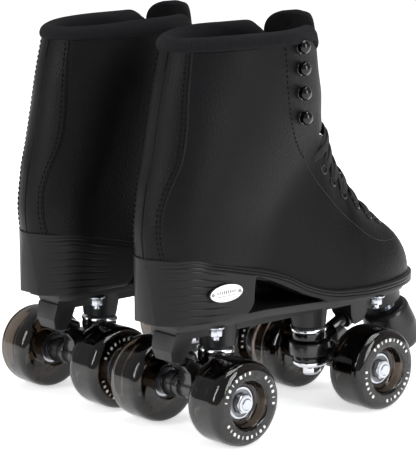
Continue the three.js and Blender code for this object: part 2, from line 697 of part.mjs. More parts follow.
/** The plate: flange, spine, kingpin and pivot bosses at both ends and a toe stop boss. */
function plate() {
  const flangeLow = PLATE_TOP - PLATE_FLANGE;
  const outline = planOutline(PLATE_INSET, PLATE_REAR, PLATE_FRONT, PLATE_MAX_HALF_WIDTH);
  let body = solid(uprightSlab(outline, flangeLow, PLATE_TOP));
  const spine = [
    [PLATE_REAR + 2, flangeLow + 1], [PLATE_REAR + 6, PLATE_SPINE_BOTTOM],
    [PLATE_FRONT - 6, PLATE_SPINE_BOTTOM], [PLATE_FRONT - 2, flangeLow + 1],
  ];
  body = body.add(solid(acrossSlab(spine, -PLATE_SPINE_HALF_WIDTH, PLATE_SPINE_HALF_WIDTH)));
  const height = PLATE_TOP - YOKE_HEIGHT;
  const above = solid(uprightSlab([[-60, -160], [60, -160], [60, 160], [-60, 160]],
    PLATE_TOP, PLATE_TOP + 40));
  const stopBoss = onStop(turned([
    [0, 5.5], [STOP_BOSS_RADIUS, 5.5], [STOP_BOSS_RADIUS + 2, 22], [0, 22],
  ]));
  body = body.add(solid(stopBoss));
  for (const end of [(g) => g, turnedRound]) {
    const pinBoss = onKingpin(turned([
      [0, BOSS_START], [KINGPIN_BOSS_RADIUS, BOSS_START], [KINGPIN_BOSS_RADIUS + 3, height],
      [0, height],
    ]));
    const cup = PIVOT_RADIUS + PIVOT_CUP_WALL + 2 * GAP;
    const block = PIVOT_BOSS_RADIUS;
    const pivotBoss = acrossSlab([
      [PIVOT_Y - block + 2, PLATE_SPINE_BOTTOM + 2], [PIVOT_Y - 7, PIVOT_HEIGHT + 1],
      [PIVOT_Y - 1, PIVOT_HEIGHT - 6], [PIVOT_Y + 8, PIVOT_HEIGHT - 4],
      [PIVOT_Y + 10, PIVOT_HEIGHT + 3], [PIVOT_Y + 7, PLATE_SPINE_BOTTOM + 4],
    ], -block, block);
    const seat = onSteering(rod(cup, -30, PIVOT_CUP_WALL + 3));
    body = body.add(solid(end(pinBoss))).add(solid(end(pivotBoss)));
    body = body.subtract(solid(end(seat)));
    const bore = onKingpin(rod(KINGPIN_RADIUS + GAP, -5, height - 8));
    body = body.subtract(solid(end(bore)));
  }
  body = body.subtract(solid(onStop(rod(STEM_RADIUS + GAP, -5, 60))));
  return geometryOf(body.subtract(above));
}

/** The rubber of the toe stop, with a blind hole for its stem. */
function toeStop() {
  const foot = -STOP_LENGTH;
  const hole = STEM_RADIUS + GAP;
  return onStop(turned([
    [0, foot], [STOP_FOOT_RADIUS - 5, foot], [STOP_FOOT_RADIUS - 1.4, foot + 1.6],
    [STOP_FOOT_RADIUS, foot + 5], [STOP_TOP_RADIUS, -2], [STOP_TOP_RADIUS - 2, 0],
    [hole, 0], [hole, -STEM_DEPTH - GAP], [0, -STEM_DEPTH - GAP],
  ]));
}

/** The toe stop's stem. */
const toeStopStem = () => onStop(rod(STEM_RADIUS, -STEM_DEPTH, STEM_REACH));

// ---------------------------------------------------------------- trucks and wheels

/** The truck hanger: yoke ring, neck, pivot pin and axle tube. */
function truckHanger() {
  const half = YOKE_THICKNESS / 2;
  const yoke = onKingpin(rod(YOKE_RADIUS, -half, half, ROUND));
  const neck = acrossSlab([
    [KINGPIN_Y + 9, YOKE_HEIGHT - 4], [AXLE_Y - 6, WHEEL_RADIUS - 4],
    [AXLE_Y + 6, WHEEL_RADIUS], [AXLE_Y + 7, WHEEL_RADIUS + 12], [AXLE_Y + 12, YOKE_HEIGHT + 7],
    [AXLE_Y + 7, YOKE_HEIGHT + 11], [AXLE_Y - 3, YOKE_HEIGHT + 6],
    [KINGPIN_Y + 12, YOKE_HEIGHT + 3.5],
  ], -6, 6);
  const web = acrossSlab([
    [KINGPIN_Y + 9, YOKE_HEIGHT - 4], [AXLE_Y - 5, WHEEL_RADIUS - 3], [AXLE_Y + 4, WHEEL_RADIUS],
    [AXLE_Y + 3, WHEEL_RADIUS + 6], [KINGPIN_Y + 12, YOKE_HEIGHT + 3.5],
  ], -11, 11);
  const pin = onSteering(rod(PIVOT_RADIUS, -PIVOT_LENGTH - 6, 0));
  const tube = rod(AXLE_TUBE_RADIUS, -AXLE_TUBE_LENGTH / 2, AXLE_TUBE_LENGTH / 2)
    .rotateY(Math.PI / 2).translate(0, AXLE_Y, WHEEL_RADIUS);
  const bore = rod(AXLE_RADIUS + GAP, -AXLE_TUBE_LENGTH, AXLE_TUBE_LENGTH)
    .rotateY(Math.PI / 2).translate(0, AXLE_Y, WHEEL_RADIUS);
  const eye = onKingpin(rod(YOKE_BORE_RADIUS, -half - 2, half + 2));
  const room = RETAINER_RADIUS + 1.5;
  const cuts = [bore, eye, onKingpin(rod(room, -40, -half)), onKingpin(rod(room, half, 40))];
  let body = join(...[yoke, neck, web, pin, tube].map(solid));
  for (const cut of cuts) body = body.subtract(solid(cut));
  return geometryOf(body);
}

/** The rubber cup between pivot pin and plate. */
function pivotCup() {
  const inner = PIVOT_RADIUS + GAP;
  const outer = inner + PIVOT_CUP_WALL;
  return onSteering(turned([
    [inner, -PIVOT_LENGTH * 0.5], [outer, -PIVOT_LENGTH * 0.5], [outer, GAP + PIVOT_CUP_WALL],
    [0, GAP + PIVOT_CUP_WALL], [0, GAP], [inner, GAP], [inner, -PIVOT_LENGTH * 0.5],
  ], SMALL_ROUND));
}

/** The kingpin with its two retaining washers and its nut. */
function kingpin() {
  const half = YOKE_THICKNESS / 2;
  const lowSeat = -half - 2 * GAP - LOWER_CUSHION_HEIGHT;
  const lowFace = lowSeat - RETAINER_THICKNESS;
  const highSeat = PIN_STACK - RETAINER_THICKNESS;
  const end = lowFace - KINGPIN_NUT_HEIGHT;
  const r = KINGPIN_RADIUS;
  const top = PLATE_TOP - YOKE_HEIGHT - 10;
  return onKingpin(turned([
    [0, end], [r, end], [r, end + 1], [KINGPIN_NUT_RADIUS, end + 1], [KINGPIN_NUT_RADIUS, lowFace],
    [RETAINER_RADIUS - 1, lowFace], [RETAINER_RADIUS, lowSeat], [r, lowSeat],
    [r, highSeat], [RETAINER_RADIUS, highSeat], [RETAINER_RADIUS - 1, PIN_STACK], [r, PIN_STACK],
    [r, top], [0, top],
  ], SMALL_ROUND));
}

/** A cushion ring on the kingpin; side is 1 above the yoke and -1 below it. */
function cushion(side) {
  const near = YOKE_THICKNESS / 2 + GAP;
  const far = near + (side > 0 ? UPPER_CUSHION_HEIGHT : LOWER_CUSHION_HEIGHT);
  const bore = KINGPIN_RADIUS + GAP;
  const waist = CUSHION_RADIUS - 1;
  const profile = [
    [bore, near], [waist, near], [CUSHION_RADIUS, (near + far) / 2], [waist, far], [bore, far],
    [bore, near],
  ];
  return onKingpin(turned(profile.map(([r, z]) => [r, side * z]), SMALL_ROUND));
}

/** The axle with its end nuts. */
function axle() {
  const end = WHEEL_TRACK / 2 + WHEEL_WIDTH / 2 - AXLE_END_INSET;
  const nut = end - AXLE_THREAD_SHOW;
  const seat = WHEEL_TRACK / 2 + WHEEL_WIDTH / 2 - HUB_RECESS_DEPTH + GAP;
  const r = AXLE_RADIUS;
  return turned([
    [0, -end], [r, -end], [r, -nut], [AXLE_NUT_RADIUS, -nut], [AXLE_NUT_RADIUS, -seat],
    [r, -seat], [r, seat], [AXLE_NUT_RADIUS, seat], [AXLE_NUT_RADIUS, nut], [r, nut], [r, end],
    [0, end],
  ], SMALL_ROUND).rotateY(Math.PI / 2);
}

/** A wheel about its own middle, axis +Z with its outer face up. */
function wheelTyre() {
  const half = WHEEL_WIDTH / 2;
  const flat = WHEEL_TREAD_WIDTH / 2;
  const bore = BEARING_RADIUS + BEARING_FIT;
  const shoulder = lerp(WHEEL_LIP_RADIUS, WHEEL_RADIUS, 0.72);
  const recess = half - HUB_RECESS_DEPTH;
  const tread = WHEEL_RADIUS / Math.cos(Math.PI / WHEEL_SIDES);
  return turned([
    [bore, HUB_INNER_SETBACK - half], [bore + 2, -half],
    [WHEEL_LIP_RADIUS, -half], [shoulder, lerp(-half, -flat, 0.4)], [tread, -flat],
    [tread, flat], [shoulder, lerp(half, flat, 0.4)], [WHEEL_LIP_RADIUS, half],
    [HUB_RECESS_RADIUS, half], [HUB_RECESS_RADIUS, recess],
    [bore, recess], [bore, HUB_INNER_SETBACK - half],
  ], WHEEL_SIDES).rotateZ(Math.PI / WHEEL_SIDES);
}

/** The two ball bearings of a wheel and the spacer between them, axis +Z, outer face up. */
function bearingSet() {
  const half = WHEEL_WIDTH / 2;
  const bore = AXLE_RADIUS + AXLE_FIT;
  const outerFace = half - HUB_RECESS_DEPTH;
  const innerFace = HUB_INNER_SETBACK - half;
  return turned([
    [bore, innerFace], [BEARING_RADIUS, innerFace], [BEARING_RADIUS, innerFace + BEARING_WIDTH],
    [SPACER_RADIUS, innerFace + BEARING_WIDTH], [SPACER_RADIUS, outerFace - BEARING_WIDTH],
    [BEARING_RADIUS, outerFace - BEARING_WIDTH], [BEARING_RADIUS, outerFace], [bore, outerFace],
    [bore, innerFace],
  ], SMALL_ROUND);
}

/** One truck with its wheels, for the front; the rear one is turned round by its group. */
function truckGroup(prefix, shapes, sides) {
  const group = new THREE.Group();
  group.add(
    part(`${prefix}_truck`, shapes.hanger, FINISH.blackMetal),
    part(`${prefix}_kingpin`, shapes.kingpin, FINISH.chrome),
    part(`${prefix}_upper_cushion`, shapes.upperCushion, FINISH.cushion),
    part(`${prefix}_lower_cushion`, shapes.lowerCushion, FINISH.cushion),
    part(`${prefix}_pivot_cup`, shapes.pivotCup, FINISH.rubber),
  );
  const axleMesh = part(`${prefix}_axle`, shapes.axle, FINISH.steel);
  axleMesh.position.set(0, AXLE_Y, WHEEL_RADIUS);
  group.add(axleMesh);
  for (const [side, sign] of sides) {
    const wheel = part(`${prefix}_${side}_wheel`, shapes.wheel, FINISH.urethane);
    const bearings = part(`${prefix}_${side}_bearings`, shapes.bearings, FINISH.steel);
    for (const mesh of [wheel, bearings]) {
      mesh.position.set((sign * WHEEL_TRACK) / 2, AXLE_Y, WHEEL_RADIUS);
      mesh.rotation.y = (sign * Math.PI) / 2;
      group.add(mesh);
    }
  }
  return group;
}

// ---------------------------------------------------------------- the pair

const SHAPES = {
  upper: raised(upper()),
  lining: raised(collarLining()),
  tongue: raised(tongue()),
  laces: raised(laces()),
  outsole: raised(outsole()),
  insole: raised(geometryOf(insoleBoard(0).intersect(insoleBoard(GAP)))),
  badge: raised(badge()),
  plate: plate(),
  toeStop: closed(toeStop()),
  stem: closed(toeStopStem()),
  hanger: truckHanger(),
  kingpin: closed(kingpin()),
  upperCushion: closed(cushion(1)),
  lowerCushion: closed(cushion(-1)),
  pivotCup: closed(pivotCup()),
  axle: closed(axle()),
  wheel: closed(wheelTyre()),
  bearings: closed(bearingSet()),
};

/** One skate. The left one is the mirror image, so its outer side faces -x. */
function skate(side) {
  const group = new THREE.Group();
  const sign = side === 'right' ? 1 : -1;
  const handed = (geometry) => (sign > 0 ? geometry : mirrored(geometry));
  group.add(
    part(`${side}_upper`, handed(SHAPES.upper), FINISH.leather),
    part(`${side}_collar_lining`, handed(SHAPES.lining), FINISH.knit),
    part(`${side}_tongue`, handed(SHAPES.tongue), FINISH.knit),
    part(`${side}_laces`, handed(SHAPES.laces), FINISH.lace),
    part(`${side}_outsole`, handed(SHAPES.outsole), FINISH.sole),
    part(`${side}_insole`, handed(SHAPES.insole), FINISH.board),
    part(`${side}_badge`, handed(SHAPES.badge), FINISH.badge),
    part(`${side}_plate`, handed(SHAPES.plate), FINISH.plate),
    part(`${side}_toe_stop`, handed(SHAPES.toeStop), FINISH.rubber),
    part(`${side}_toe_stop_stem`, handed(SHAPES.stem), FINISH.steel),
  );
  const front = truckGroup(`${side}_front`, SHAPES, [['outer', sign], ['inner', -sign]]);
  const rear = truckGroup(`${side}_rear`, SHAPES, [['outer', -sign], ['inner', sign]]);
  rear.rotation.z = Math.PI;
  group.add(front, rear);
  group.position.x = (sign * SKATE_SPACING) / 2;
  return group;
}

const pair = new THREE.Group();
pair.add(skate('right'), skate('left'));

// The pair's origin is under the middle of its bounding box.
const extent = new THREE.Box3().setFromObject(pair, true);
pair.position.y = -(extent.min.y + extent.max.y) / 2;

export default pair;
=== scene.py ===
import logging
import math
from dataclasses import dataclass, field
from enum import Enum
from typing import Iterable, Sequence

import bmesh
import bpy
import numpy as np
from mathutils import Matrix, Vector


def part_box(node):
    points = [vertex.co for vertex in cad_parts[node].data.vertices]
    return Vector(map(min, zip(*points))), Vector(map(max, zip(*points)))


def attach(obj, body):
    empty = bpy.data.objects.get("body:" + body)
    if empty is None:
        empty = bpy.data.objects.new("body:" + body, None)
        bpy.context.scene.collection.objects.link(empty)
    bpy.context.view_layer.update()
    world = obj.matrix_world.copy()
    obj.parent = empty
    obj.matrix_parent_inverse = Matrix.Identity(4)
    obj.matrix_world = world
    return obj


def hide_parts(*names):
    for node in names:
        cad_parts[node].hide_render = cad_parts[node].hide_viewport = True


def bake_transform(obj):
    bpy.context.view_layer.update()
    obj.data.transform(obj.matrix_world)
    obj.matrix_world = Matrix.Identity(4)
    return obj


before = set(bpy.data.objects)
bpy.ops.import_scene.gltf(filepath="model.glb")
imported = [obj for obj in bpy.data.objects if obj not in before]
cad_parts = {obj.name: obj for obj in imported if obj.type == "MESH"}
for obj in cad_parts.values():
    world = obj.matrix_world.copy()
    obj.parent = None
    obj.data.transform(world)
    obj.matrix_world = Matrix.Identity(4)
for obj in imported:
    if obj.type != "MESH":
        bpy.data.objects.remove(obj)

# A pair of black high-top quad roller skates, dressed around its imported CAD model.
#
# Sizes are in millimetres in each skate's own frame: the origin is on the floor midway between
# its axles, +X points to the skate's outer side, +Y to its toe and +Z up. SkateSide turns that
# frame into the row's frame in metres, and mirrors it for the left skate.

LOG = logging.getLogger("skates")
MM = 0.001
RAY_REACH = 110.0
RAY_STEPS = 24
TURN_STEPS = 18
SETTLE_STEPS = 8
Points = Sequence[tuple[float, float]]
Shape = bmesh.types.BMesh


# ------------------------------------------------------------------ places


class Side(Enum):
    """Which skate of the pair a piece belongs to; the value is its sign along X."""

    RIGHT = 1
    LEFT = -1

    @property
    def word(self) -> str:
        """The side's name as the CAD nodes spell it."""
        return self.name.lower()


class End(Enum):
    """Which truck of a skate; the value is its sign along Y."""

    FRONT = 1
    REAR = -1

    @property
    def word(self) -> str:
        """The end's name as the CAD nodes spell it."""
        return self.name.lower()


@dataclass(frozen=True)
class SkateSide:
    """One skate's place in the row frame, measured from its CAD axles."""

    side: Side

    def node(self, name: str) -> str:
        """The full CAD node name of one of this skate's pieces."""
        return f"{self.side.word}_{name}"

    @property
    def origin(self) -> Vector:
        """The skate's own origin, midway between its axles on the floor.

        Returns:
            A point of the row frame, in metres.
        """
        boxes = [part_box(self.node(f"{end.word}_axle")) for end in End]
        centres = [(low + high) / 2 for low, high in boxes]
        return Vector((centres[0].x, (centres[0].y + centres[1].y) / 2, 0))

    def matrix(self) -> Matrix:
        """The skate's own frame in millimetres, as a matrix to the row frame."""
        scale = Matrix.Diagonal((MM * self.side.value, MM, MM, 1))
        return Matrix.Translation(self.origin) @ scale


# ------------------------------------------------------------------ smooth functions


class Curve:
    """A smooth function through points, without overshoot between them."""

    def __init__(self, *points: tuple[float, float]) -> None:
        """Finds the slope at each point.

        Args:
            points: (x, y) pairs with rising x.
        """
        self.x, self.y = np.array(points, float).T
        slope = np.diff(self.y) / np.diff(self.x)
        total = slope[:-1] + slope[1:]
        product = slope[:-1] * slope[1:]
        inner = np.where(product > 0, 2 * product / np.where(total == 0, 1, total), 0)
        self.tangent = np.concatenate([slope[:1], inner, slope[-1:]])

    def __call__(self, x: np.ndarray | float) -> np.ndarray:
        """The function's values.

        Args:
            x: one value or an array of them; outside the points it holds the end values.

        Returns:
            An array as large as x.
        """
        x = np.clip(x, self.x[0], self.x[-1])
        i = np.clip(np.searchsorted(self.x, x, side="right") - 1, 0, len(self.x) - 2)
        span = self.x[i + 1] - self.x[i]
        t = (x - self.x[i]) / span
        rise = self.y[i + 1] - self.y[i]
        a = span * self.tangent[i] - rise
        b = rise - span * self.tangent[i + 1]
        return self.y[i] + t * rise + t * (1 - t) * (a * (1 - t) + b * t)


def blend(a: float | np.ndarray, b: float | np.ndarray, t: float | np.ndarray) -> np.ndarray:
    """The value a share t of the way from a to b."""
    return a + (b - a) * t


def smooth_step(low: float, high: float, x: np.ndarray | float) -> np.ndarray:
    """0 below low, 1 above high and a smooth rise between them."""
    t = np.clip((np.asarray(x, float) - low) / (high - low), 0, 1)
    return t * t * (3 - 2 * t)


# ------------------------------------------------------------------ boot form


@dataclass
class BootForm:
    """The outer form of the boot: a foot and a leg, blended into one surface.

    A point of the surface is named by a station s and a turn. Stations run from the toe tip (0)
    to the start of the ankle (1), through the ankle (2) and up the leg. The turn goes from the
    front over the outer side (a quarter turn) to the back.
    """

    plate_top: float = 80
    sole_front: float = 7
    heel_back: float = -109.5
    heel_centre: float = -69
    heel_half_width: float = 30
    waist_y: float = -25
    waist_half_width: float = 28.5
    ball_centre: float = 60
    ball_half_width: float = 45
    ball_shift: float = -3
    toe_tip: float = 140
    upper_inset: float = 3
    collar_level: float = 259
    collar_slope: float = math.radians(4)
    leg_top: float = 285
    fan_y: float = 75
    fan_z: float = 215
    fan_radius: float = 96
    sunk: float = 8
    splay: float = 11
    splay_rise: tuple[float, float] = (150, 272)
    splay_reach: tuple[float, float] = (-78, 6)
    splay_middle: float = 14
    waist: Curve = field(init=False)
    centre: Curve = field(init=False)
    seam: Curve = field(init=False)

    def __post_init__(self) -> None:
        """Makes the curves that follow from the sizes."""
        self.waist = Curve(
            (self.heel_centre, self.heel_half_width),
            (self.waist_y, self.waist_half_width),
            (float(blend(self.waist_y, self.ball_centre, 0.53)),
             float(blend(self.waist_half_width, self.ball_half_width, 0.56))),
            (self.ball_centre, self.ball_half_width),
        )
        self.centre = Curve(
            (self.waist_y, 0), (self.ball_centre, self.ball_shift), (self.toe_tip, self.ball_shift)
        )
        front = self.plate_top + self.sole_front
        self.seam = Curve(
            (-110, 124), (-90, 124), (-72, 120.5), (-46, 114.5), (-20, 108), (-6, 103),
            (11, 94.5), (25, 90), (40, front + 0.5), (60, front), (self.toe_tip, front),
        )
        self.ridge = Curve(
            (-110, 140), (-70, 200), (-30, 235), (10, 245), (30, 234), (45, 200), (54, 182),
            (64, 166.5), (73, 153), (82, 143), (92, 134.5), (106, 126.5), (120, 116.5),
            (127, 109), (131, 104), (133, 99.5), (134, 93),
        )
        self.leg_back = Curve(
            (105, -104), (123, -107.5), (139, -109), (165, -106), (185, -101), (204, -97),
            (221, -94), (235, -91), (255, -86), (290, -78),
        )
        self.leg_centre = Curve(
            (105, -71), (139, -72), (165, -64), (185, -57), (204, -51), (221, -46), (255, -41),
            (290, -38),
        )
        self.leg_half = Curve((105, 28), (139, 30), (165, 32), (204, 34), (235, 34), (290, 32))
        self.leg_front = Curve(
            (105, -10), (139, 15), (165, 35), (185, 45), (204, 47), (220, 48), (240, 44.5),
            (290, 38),
        )
        self.throat = Curve(
            (0.62, 0), (0.69, 7), (0.78, 10.5), (0.95, 14.5), (1.2, 17), (1.5, 17.5), (1.63, 17.5),
            (1.69, 19), (1.715, 21), (1.74, 18), (1.79, 13), (1.9, 11.4), (2.2, 11.6), (3, 12),
        )

    @property
    def top(self) -> float:
        """The station of the leather's edge at the collar."""
        return self.leg_station(self.collar_level)

    def leg_station(self, height: float) -> float:
        """The station whose plane crosses the leg's middle at a height."""
        return 2 + (height - self.fan_z) / (self.leg_top - self.fan_z)

    def half_width(self, y: np.ndarray | float, inset: float = 0) -> np.ndarray:
        """Half the sole's plan width.

        Args:
            y: places along the sole.
            inset: how far the outline is drawn in from the sole's edge.

        Returns:
            The half width at each place.
        """
        rear = self.heel_centre - self.heel_back - inset
        ahead = self.toe_tip - self.ball_centre - inset
        share = np.maximum(
            np.maximum(0, self.heel_centre - y) / rear, np.maximum(0, y - self.ball_centre) / ahead
        )
        return (self.waist(y) - inset) * np.sqrt(np.maximum(0, 1 - np.minimum(1, share) ** 2))

    def field(self, p: np.ndarray) -> np.ndarray:
        """A field that is negative inside the form and zero on its surface.

        Args:
            p: points as an array with x, y and z in its last axis.

        Returns:
            The field's value at each point.
        """
        x, y, z = p[..., 0], p[..., 1], p[..., 2]
        width = np.maximum(self.half_width(y, self.upper_inset), 0.01)
        base = self.seam(y)
        crest = np.maximum(self.ridge(y), base + 0.01)
        toe = np.clip((y - 55) / 55, 0, 1)
        side = np.abs(x - self.centre(y)) / width
        level = np.maximum(0, z - base) / (crest - base)
        foot = side ** blend(1.5, 2.2, toe) + level ** blend(1.6, 2.2, toe) - 1
        foot = np.where(width < 1, 4 + np.abs(y - self.ball_centre) / 50, foot)
        centre = self.leg_centre(z)
        reach = np.where(y < centre, centre - self.leg_back(z), self.leg_front(z) - centre)
        leg = (x / self.leg_half(z)) ** 2 + ((y - centre) / reach) ** 2 - 1
        sharp = 7
        near = np.minimum(foot, leg)
        united = near - np.log(1 + np.exp(-sharp * np.abs(foot - leg))) / sharp
        return np.maximum(united, (base - self.sunk - z) / 12)

    def plane(self, s: np.ndarray) -> tuple[np.ndarray, ...]:
        """The section planes of stations.

        Args:
            s: stations.

        Returns:
            The planes' middles as y and z, their upward turn about X, and the plan and height
            weights that spread the turns evenly round each section.
        """
        toe = np.clip(s, 0, 1)
        turn = np.clip(s - 1, 0, 1) * (np.pi / 2)
        leg = np.clip(s - 2, 0, None)
        y = blend(self.toe_tip - 6.4, self.fan_y, 1 - np.cos(toe * np.pi / 2))
        z = blend(95, self.fan_z - self.fan_radius, toe)
        y = np.where(s > 1, self.fan_y - self.fan_radius * np.sin(turn), y)
        z = np.where(s > 1, self.fan_z - self.fan_radius * np.cos(turn), z)
        z = np.where(s > 2, blend(self.fan_z, self.leg_top, leg), z)
        rise = np.where(s > 2, np.pi / 2 - self.collar_slope * leg, turn)
        wide = blend(1, 0.5, np.clip(s - 1, 0, 1))
        tall = blend(0.8, 1, np.clip(s - 1, 0, 1))
        return y, z, rise, wide, tall

    def points(self, s: np.ndarray, turn: np.ndarray, raised: np.ndarray | float = 0) -> np.ndarray:
        """Points on or over the surface.

        Args:
            s: stations.
            turn: turns about each section, as large as s.
            raised: height over the surface, along its normal.

        Returns:
            An array of points with x, y and z in its last axis.
        """
        s, turn = np.broadcast_arrays(np.asarray(s, float), np.asarray(turn, float))
        y, z, rise, wide, tall = self.plane(s)
        across = np.sin(turn) * wide
        along = np.cos(turn) * tall
        size = np.hypot(across, along)
        ray = np.stack(
            [across / size, along / size * np.sin(rise), along / size * np.cos(rise)], axis=-1
        )
        start = np.stack([self.centre(y), y, z], axis=-1)
        surface = self.cast(start, ray)
        if np.all(np.asarray(raised) == 0):
            return surface
        return surface + self.normals(surface) * np.asarray(raised)[..., None]

    def normals(self, p: np.ndarray) -> np.ndarray:
        """Outward unit normals of the surface.

        Args:
            p: points on the surface.

        Returns:
            One normal for each point.
        """
        slopes = []
        for axis in np.eye(3) * 0.8:
            slopes.append(self.field(p + axis) - self.field(p - axis))
        n = np.stack(slopes, axis=-1)
        return n / np.linalg.norm(n, axis=-1, keepdims=True)

    def turn_at(self, s: np.ndarray | float, width: np.ndarray | float) -> np.ndarray:
        """The turns at which the surface is a distance to the outer side of the middle.

        Args:
            s: stations.
            width: the distances, as many as the stations.

        Returns:
            The turns, up to a quarter turn.
        """
        s, width = np.broadcast_arrays(np.asarray(s, float), np.asarray(width, float))
        middle = self.centre(self.plane(s)[0])
        low = np.zeros(s.shape)
        high = np.full(s.shape, np.pi / 2)
        for _ in range(TURN_STEPS):
            turn = (low + high) / 2
            narrow = self.points(s, turn)[..., 0] - middle < width
            low = np.where(narrow, turn, low)
            high = np.where(narrow, high, turn)
        return low

    def cast(self, start: np.ndarray, ray: np.ndarray, reach: float = RAY_REACH) -> np.ndarray:
        """Where rays from inside the form leave it.

        Args:
            start: points inside the form.
            ray: unit directions, as many as the points.
            reach: the longest distance looked at.

        Returns:
            The surface points.
        """
        low = np.zeros(start.shape[:-1])
        high = np.full(start.shape[:-1], float(reach))
        for _ in range(RAY_STEPS):
            middle = (low + high) / 2
            inside = self.field(start + middle[..., None] * ray) < 0
            low = np.where(inside, middle, low)
            high = np.where(inside, high, middle)
        return start + low[..., None] * ray

    def side_point(self, y: float, z: float) -> np.ndarray:
        """The outer side's surface point with a given y and z."""
        start = np.array([float(self.centre(y)), y, z])
        return self.cast(start, np.array([1.0, 0, 0]), 70)

    def back_points(self, x: np.ndarray, z: np.ndarray,
                    raised: np.ndarray | float = 0) -> np.ndarray:
        """Points at the back of the boot.

        Args:
            x: how far to the outer side of the middle they are.
            z: their heights.
            raised: height over the surface, along its normal.

        Returns:
            One point for each x and z.
        """
        start = np.stack([x, self.leg_centre(z), z], axis=-1)
        p = self.cast(start, np.broadcast_to([0.0, -1, 0], start.shape), 80)
        return p + self.normals(p) * np.asarray(raised)[..., None]

    def splayed(self, p: np.ndarray) -> np.ndarray:
        """Points of the unlaced leg, with its flaps let out to the sides.

        Args:
            p: points on the closed leg.

        Returns:
            The same points, moved out and back near the flaps' top.
        """
        p = np.asarray(p, dtype=float)
        share = smooth_step(*self.splay_rise, p[..., 2]) * smooth_step(*self.splay_reach, p[..., 1])
        out = np.clip(p[..., 0] / self.splay_middle, -1, 1) * self.splay * share
        return p + np.stack([out, -self.splay * share, 0 * share], axis=-1)

    def settled(self, p: np.ndarray, raised: float = 0) -> np.ndarray:
        """Points moved onto the surface the short way.

        Args:
            p: points near the surface.
            raised: height over the surface, along its normal.

        Returns:
            The moved points.
        """
        for _ in range(SETTLE_STEPS):
            slopes = [self.field(p + axis) - self.field(p - axis) for axis in np.eye(3) * 0.5]
            slope = np.stack(slopes, axis=-1)
            size = np.maximum(np.sum(slope * slope, axis=-1), 1e-9)
            p = p - slope * (self.field(p) / size)[..., None]
        return p + self.normals(p) * raised


# ------------------------------------------------------------------ bmesh helpers


def sheet(points: np.ndarray, wrap: bool = False, caps: bool = False) -> Shape:
    """A surface through a grid of points.

    Args:
        points: an array of rows and columns of points.
        wrap: whether the last column meets the first.
        caps: whether the first and last rows are closed.

    Returns:
        A bmesh with a UV map in millimetres along the rows and columns.
    """
    rows, columns = points.shape[:2]
    if wrap:
        points = np.concatenate([points, points[:, :1]], axis=1)
        columns += 1
    bm = bmesh.new()
    uv = bm.loops.layers.uv.new("UVMap")
    bmesh.ops.create_grid(bm, x_segments=columns - 1, y_segments=rows - 1, size=1)
    bm.verts.ensure_lookup_table()
    along = np.zeros((rows, columns))
    up = np.zeros((rows, columns))
    along[:, 1:] = np.cumsum(np.linalg.norm(np.diff(points, axis=1), axis=2), axis=1)
    up[1:] = np.cumsum(np.linalg.norm(np.diff(points, axis=0), axis=2), axis=0)
    along -= along[:, columns // 2:columns // 2 + 1]
    flat = points.reshape(-1, 3)
    for i, vert in enumerate(bm.verts):
        vert.co = flat[i]
    for face in bm.faces:
        for loop in face.loops:
            j, i = divmod(loop.vert.index, columns)
            loop[uv].uv = (along[j, i] * MM, up[j, i] * MM)
    bmesh.ops.remove_doubles(bm, verts=bm.verts, dist=1e-3)
    bmesh.ops.dissolve_degenerate(bm, edges=bm.edges, dist=1e-4)
    if caps:
        open_edges = [edge for edge in bm.edges if edge.is_boundary]
        bmesh.ops.holes_fill(bm, edges=open_edges, sides=0)
    return bm


def spun(profile: Points, steps: int = 48) -> Shape:
    """A solid turned about +Z.

    Args:
        profile: (radius, height) points that start and end on the axis, or close.
        steps: sides of the full turn.

    Returns:
        A closed bmesh with outward faces.
    """
    bm = bmesh.new()
    bm.loops.layers.uv.new("UVMap")
    verts = [bm.verts.new((r, 0, h)) for r, h in profile]
    edges = [bm.edges.new(pair) for pair in zip(verts, verts[1:])]
    bmesh.ops.spin(
        bm, geom=verts + edges, cent=(0, 0, 0), axis=(0, 0, 1), angle=2 * math.pi, steps=steps,
        use_merge=True,
    )
    bmesh.ops.remove_doubles(bm, verts=bm.verts, dist=1e-4)
    bmesh.ops.recalc_face_normals(bm, faces=bm.faces)
    return bm


def rounded(corners: Points, radius: float, steps: int = 3,
            closed: bool = False) -> list[tuple[float, float]]:
    """A profile with its inner corners rounded.

    Args:
        corners: (radius, height) points.
        radius: the rounding, made smaller on short sides.
        steps: points on each rounding, less one.
        closed: whether the profile ends where it starts.

    Returns:
        The finer profile, with the same first and last points.
    """
    out = [corners[0]]
    for before, at, after in zip(corners, corners[1:], corners[2:]):
        a, b, c = (Vector(p) for p in (before, at, after))
        room = min(radius, (a - b).length * 0.45, (c - b).length * 0.45)
        start = b + (a - b).normalized() * room
        end = b + (c - b).normalized() * room
        for k in range(steps + 1):
            t = k / steps
            p = start * (1 - t) ** 2 + b * (2 * t * (1 - t)) + end * t * t
            out.append((p.x, p.y))
    out.append(out[0] if closed else corners[-1])
    return out


def prism(sides: int, radius: float, low: float, high: float, bevel: float) -> Shape:
    """An upright prism with softened edges, such as a nut's body.

    Args:
        sides: how many sides it has.
        radius: from its axis to a corner.
        low: the height of its foot.
        high: the height of its top.
        bevel: the width of the softening, or 0 for none.

    Returns:
        A closed shape about +Z.
    """
    bm = bmesh.new()
    bm.loops.layers.uv.new("UVMap")
    bmesh.ops.create_cone(
        bm, cap_ends=True, segments=sides, radius1=radius, radius2=radius, depth=high - low
    )
    bmesh.ops.translate(bm, verts=bm.verts, vec=(0, 0, (low + high) / 2))
    if bevel:
        bmesh.ops.bevel(
            bm, geom=bm.edges, offset=bevel, segments=2, profile=0.5, affect="EDGES", material=-1
        )
    return bm


